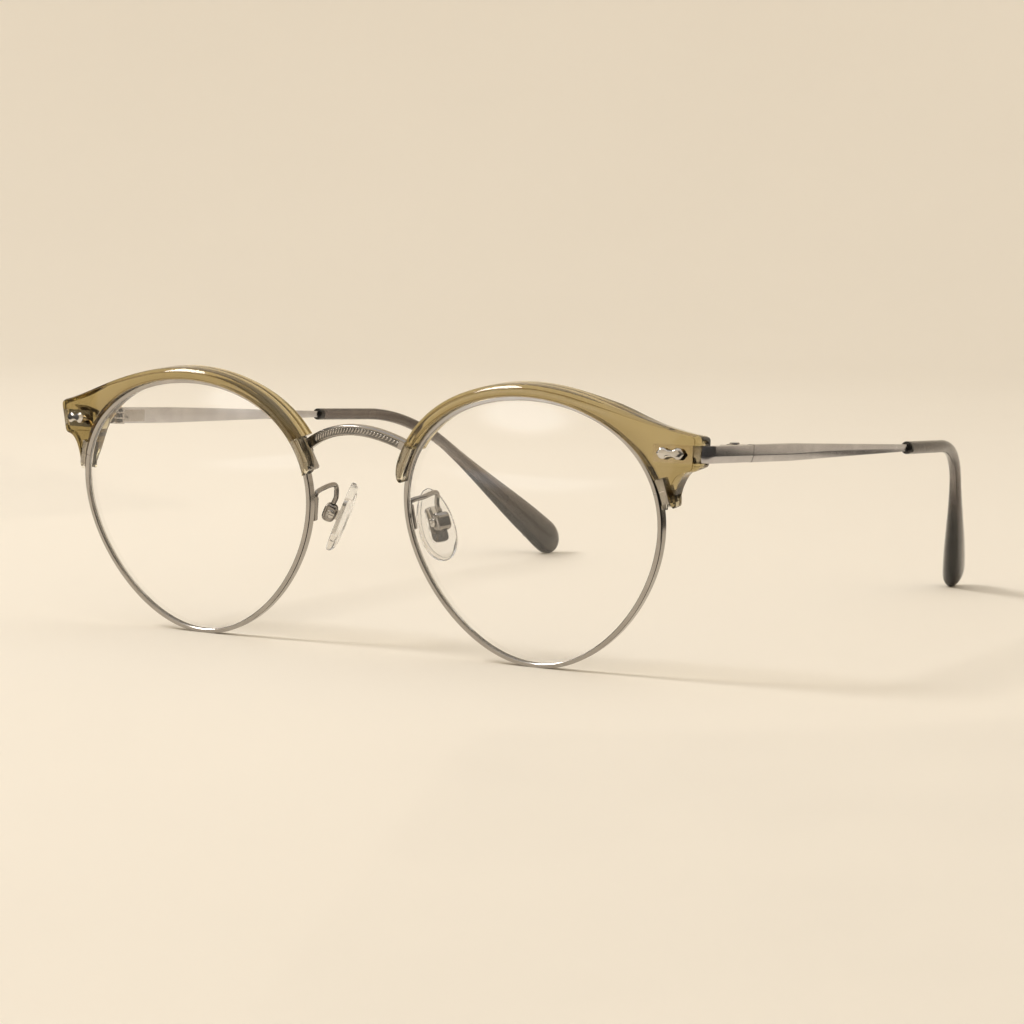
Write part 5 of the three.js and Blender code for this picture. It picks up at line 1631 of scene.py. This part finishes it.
dark_card("dark_card_left", 24, 122, 0.14, 1.2, 0.9)
dark_card("dark_card_right", -122, -52, 0.2, 1.2, 0.9)
dark_card("dark_floor_card", 122, 136, 0.1, 0.45, 0.004)

# %% [markdown]
# White cards do the opposite. A strip on the floor in front makes the upper rims bright, and a card that
# stands further out leaves a soft veil on the lenses. Both fade out from their middle, so neither shows
# an edge in what mirrors it.

# %% White cards
GLOW_FULL = 0.45
GLOW_SIDES = 64


def card_glow(name, strength):
    """A glow that is full in the middle of a card and gone at its edge."""
    material = finish(name)
    tree = material.node_tree
    place = add_node(tree, "ShaderNodeTexCoord")
    fade = add_node(tree, "ShaderNodeTexGradient")
    fade.gradient_type = "QUADRATIC_SPHERE"
    spread = add_node(tree, "ShaderNodeMapRange", {"From Max": GLOW_FULL})
    spread.interpolation_type = "SMOOTHSTEP"
    glow = add_node(tree, "ShaderNodeEmission", {"Strength": strength})
    clear_edge = add_node(tree, "ShaderNodeBsdfTransparent")
    link(tree, place, "Object", fade, "Vector")
    link(tree, fade, "Fac", spread, "Value")
    blend(material, spread.outputs["Result"], clear_edge.outputs["BSDF"], glow.outputs["Emission"])
    return material


def white_card(name, place, faces, reach, strength):
    """A glowing oval at a place, turned to face a direction."""
    deselect()
    bpy.ops.mesh.primitive_circle_add(vertices=GLOW_SIDES, radius=1, fill_type="NGON", location=place)
    card = named(name)
    card.rotation_euler = Vector(faces).to_track_quat("Z", "Y").to_euler()
    card.scale = (*reach, 1)
    card.data.materials.append(card_glow(name, strength))
    card.visible_transmission = False
    return reflected_only(card)


white_card("white_strip", (-0.075, -0.26, 0.003), (0, 0, 1), (0.13, 0.07), 1.8)
white_card("white_veil", (-0.43, -0.85, 0.085), (0.5, 0.87, 0), (0.2, 0.08), 3.4)

# %% [markdown]
# The light is that of a bright room: an even sky over the open top of the cove, and one large soft lamp
# from the front on the wearer's right. A small lamp would draw hard shadows, and this one lays soft ones
# to the other side.

# %% Light
SKY = (1.0, 0.965, 0.92)
SKY_STRENGTH = 0.8
KEY_PLACE, KEY_AIM = Vector((-0.78, -0.42, 0.98)), Vector((0, 0, 0.02))
KEY_SIZE, KEY_POWER = 0.4, 7.0


def key_lamp():
    deselect()
    bpy.ops.object.light_add(type="AREA", location=KEY_PLACE)
    lamp = named("key_lamp")
    lamp.data.shape = "DISK"
    lamp.data.size = KEY_SIZE
    lamp.data.energy = KEY_POWER
    lamp.data.color = SKY
    lamp.rotation_euler = (KEY_AIM - KEY_PLACE).to_track_quat("-Z", "Y").to_euler()
    lamp.visible_camera = False
    return lamp


world = bpy.data.worlds.new("bright_room")
bpy.context.scene.world = world
world.use_nodes = True
sky = world.node_tree.nodes["Background"]
sky.inputs["Color"].default_value = (*SKY, 1)
sky.inputs["Strength"].default_value = SKY_STRENGTH
key = key_lamp()
bpy.context.scene.view_settings.view_transform = "Standard"
print("light:", key.name, key.data.energy, "W and a sky of", SKY_STRENGTH)
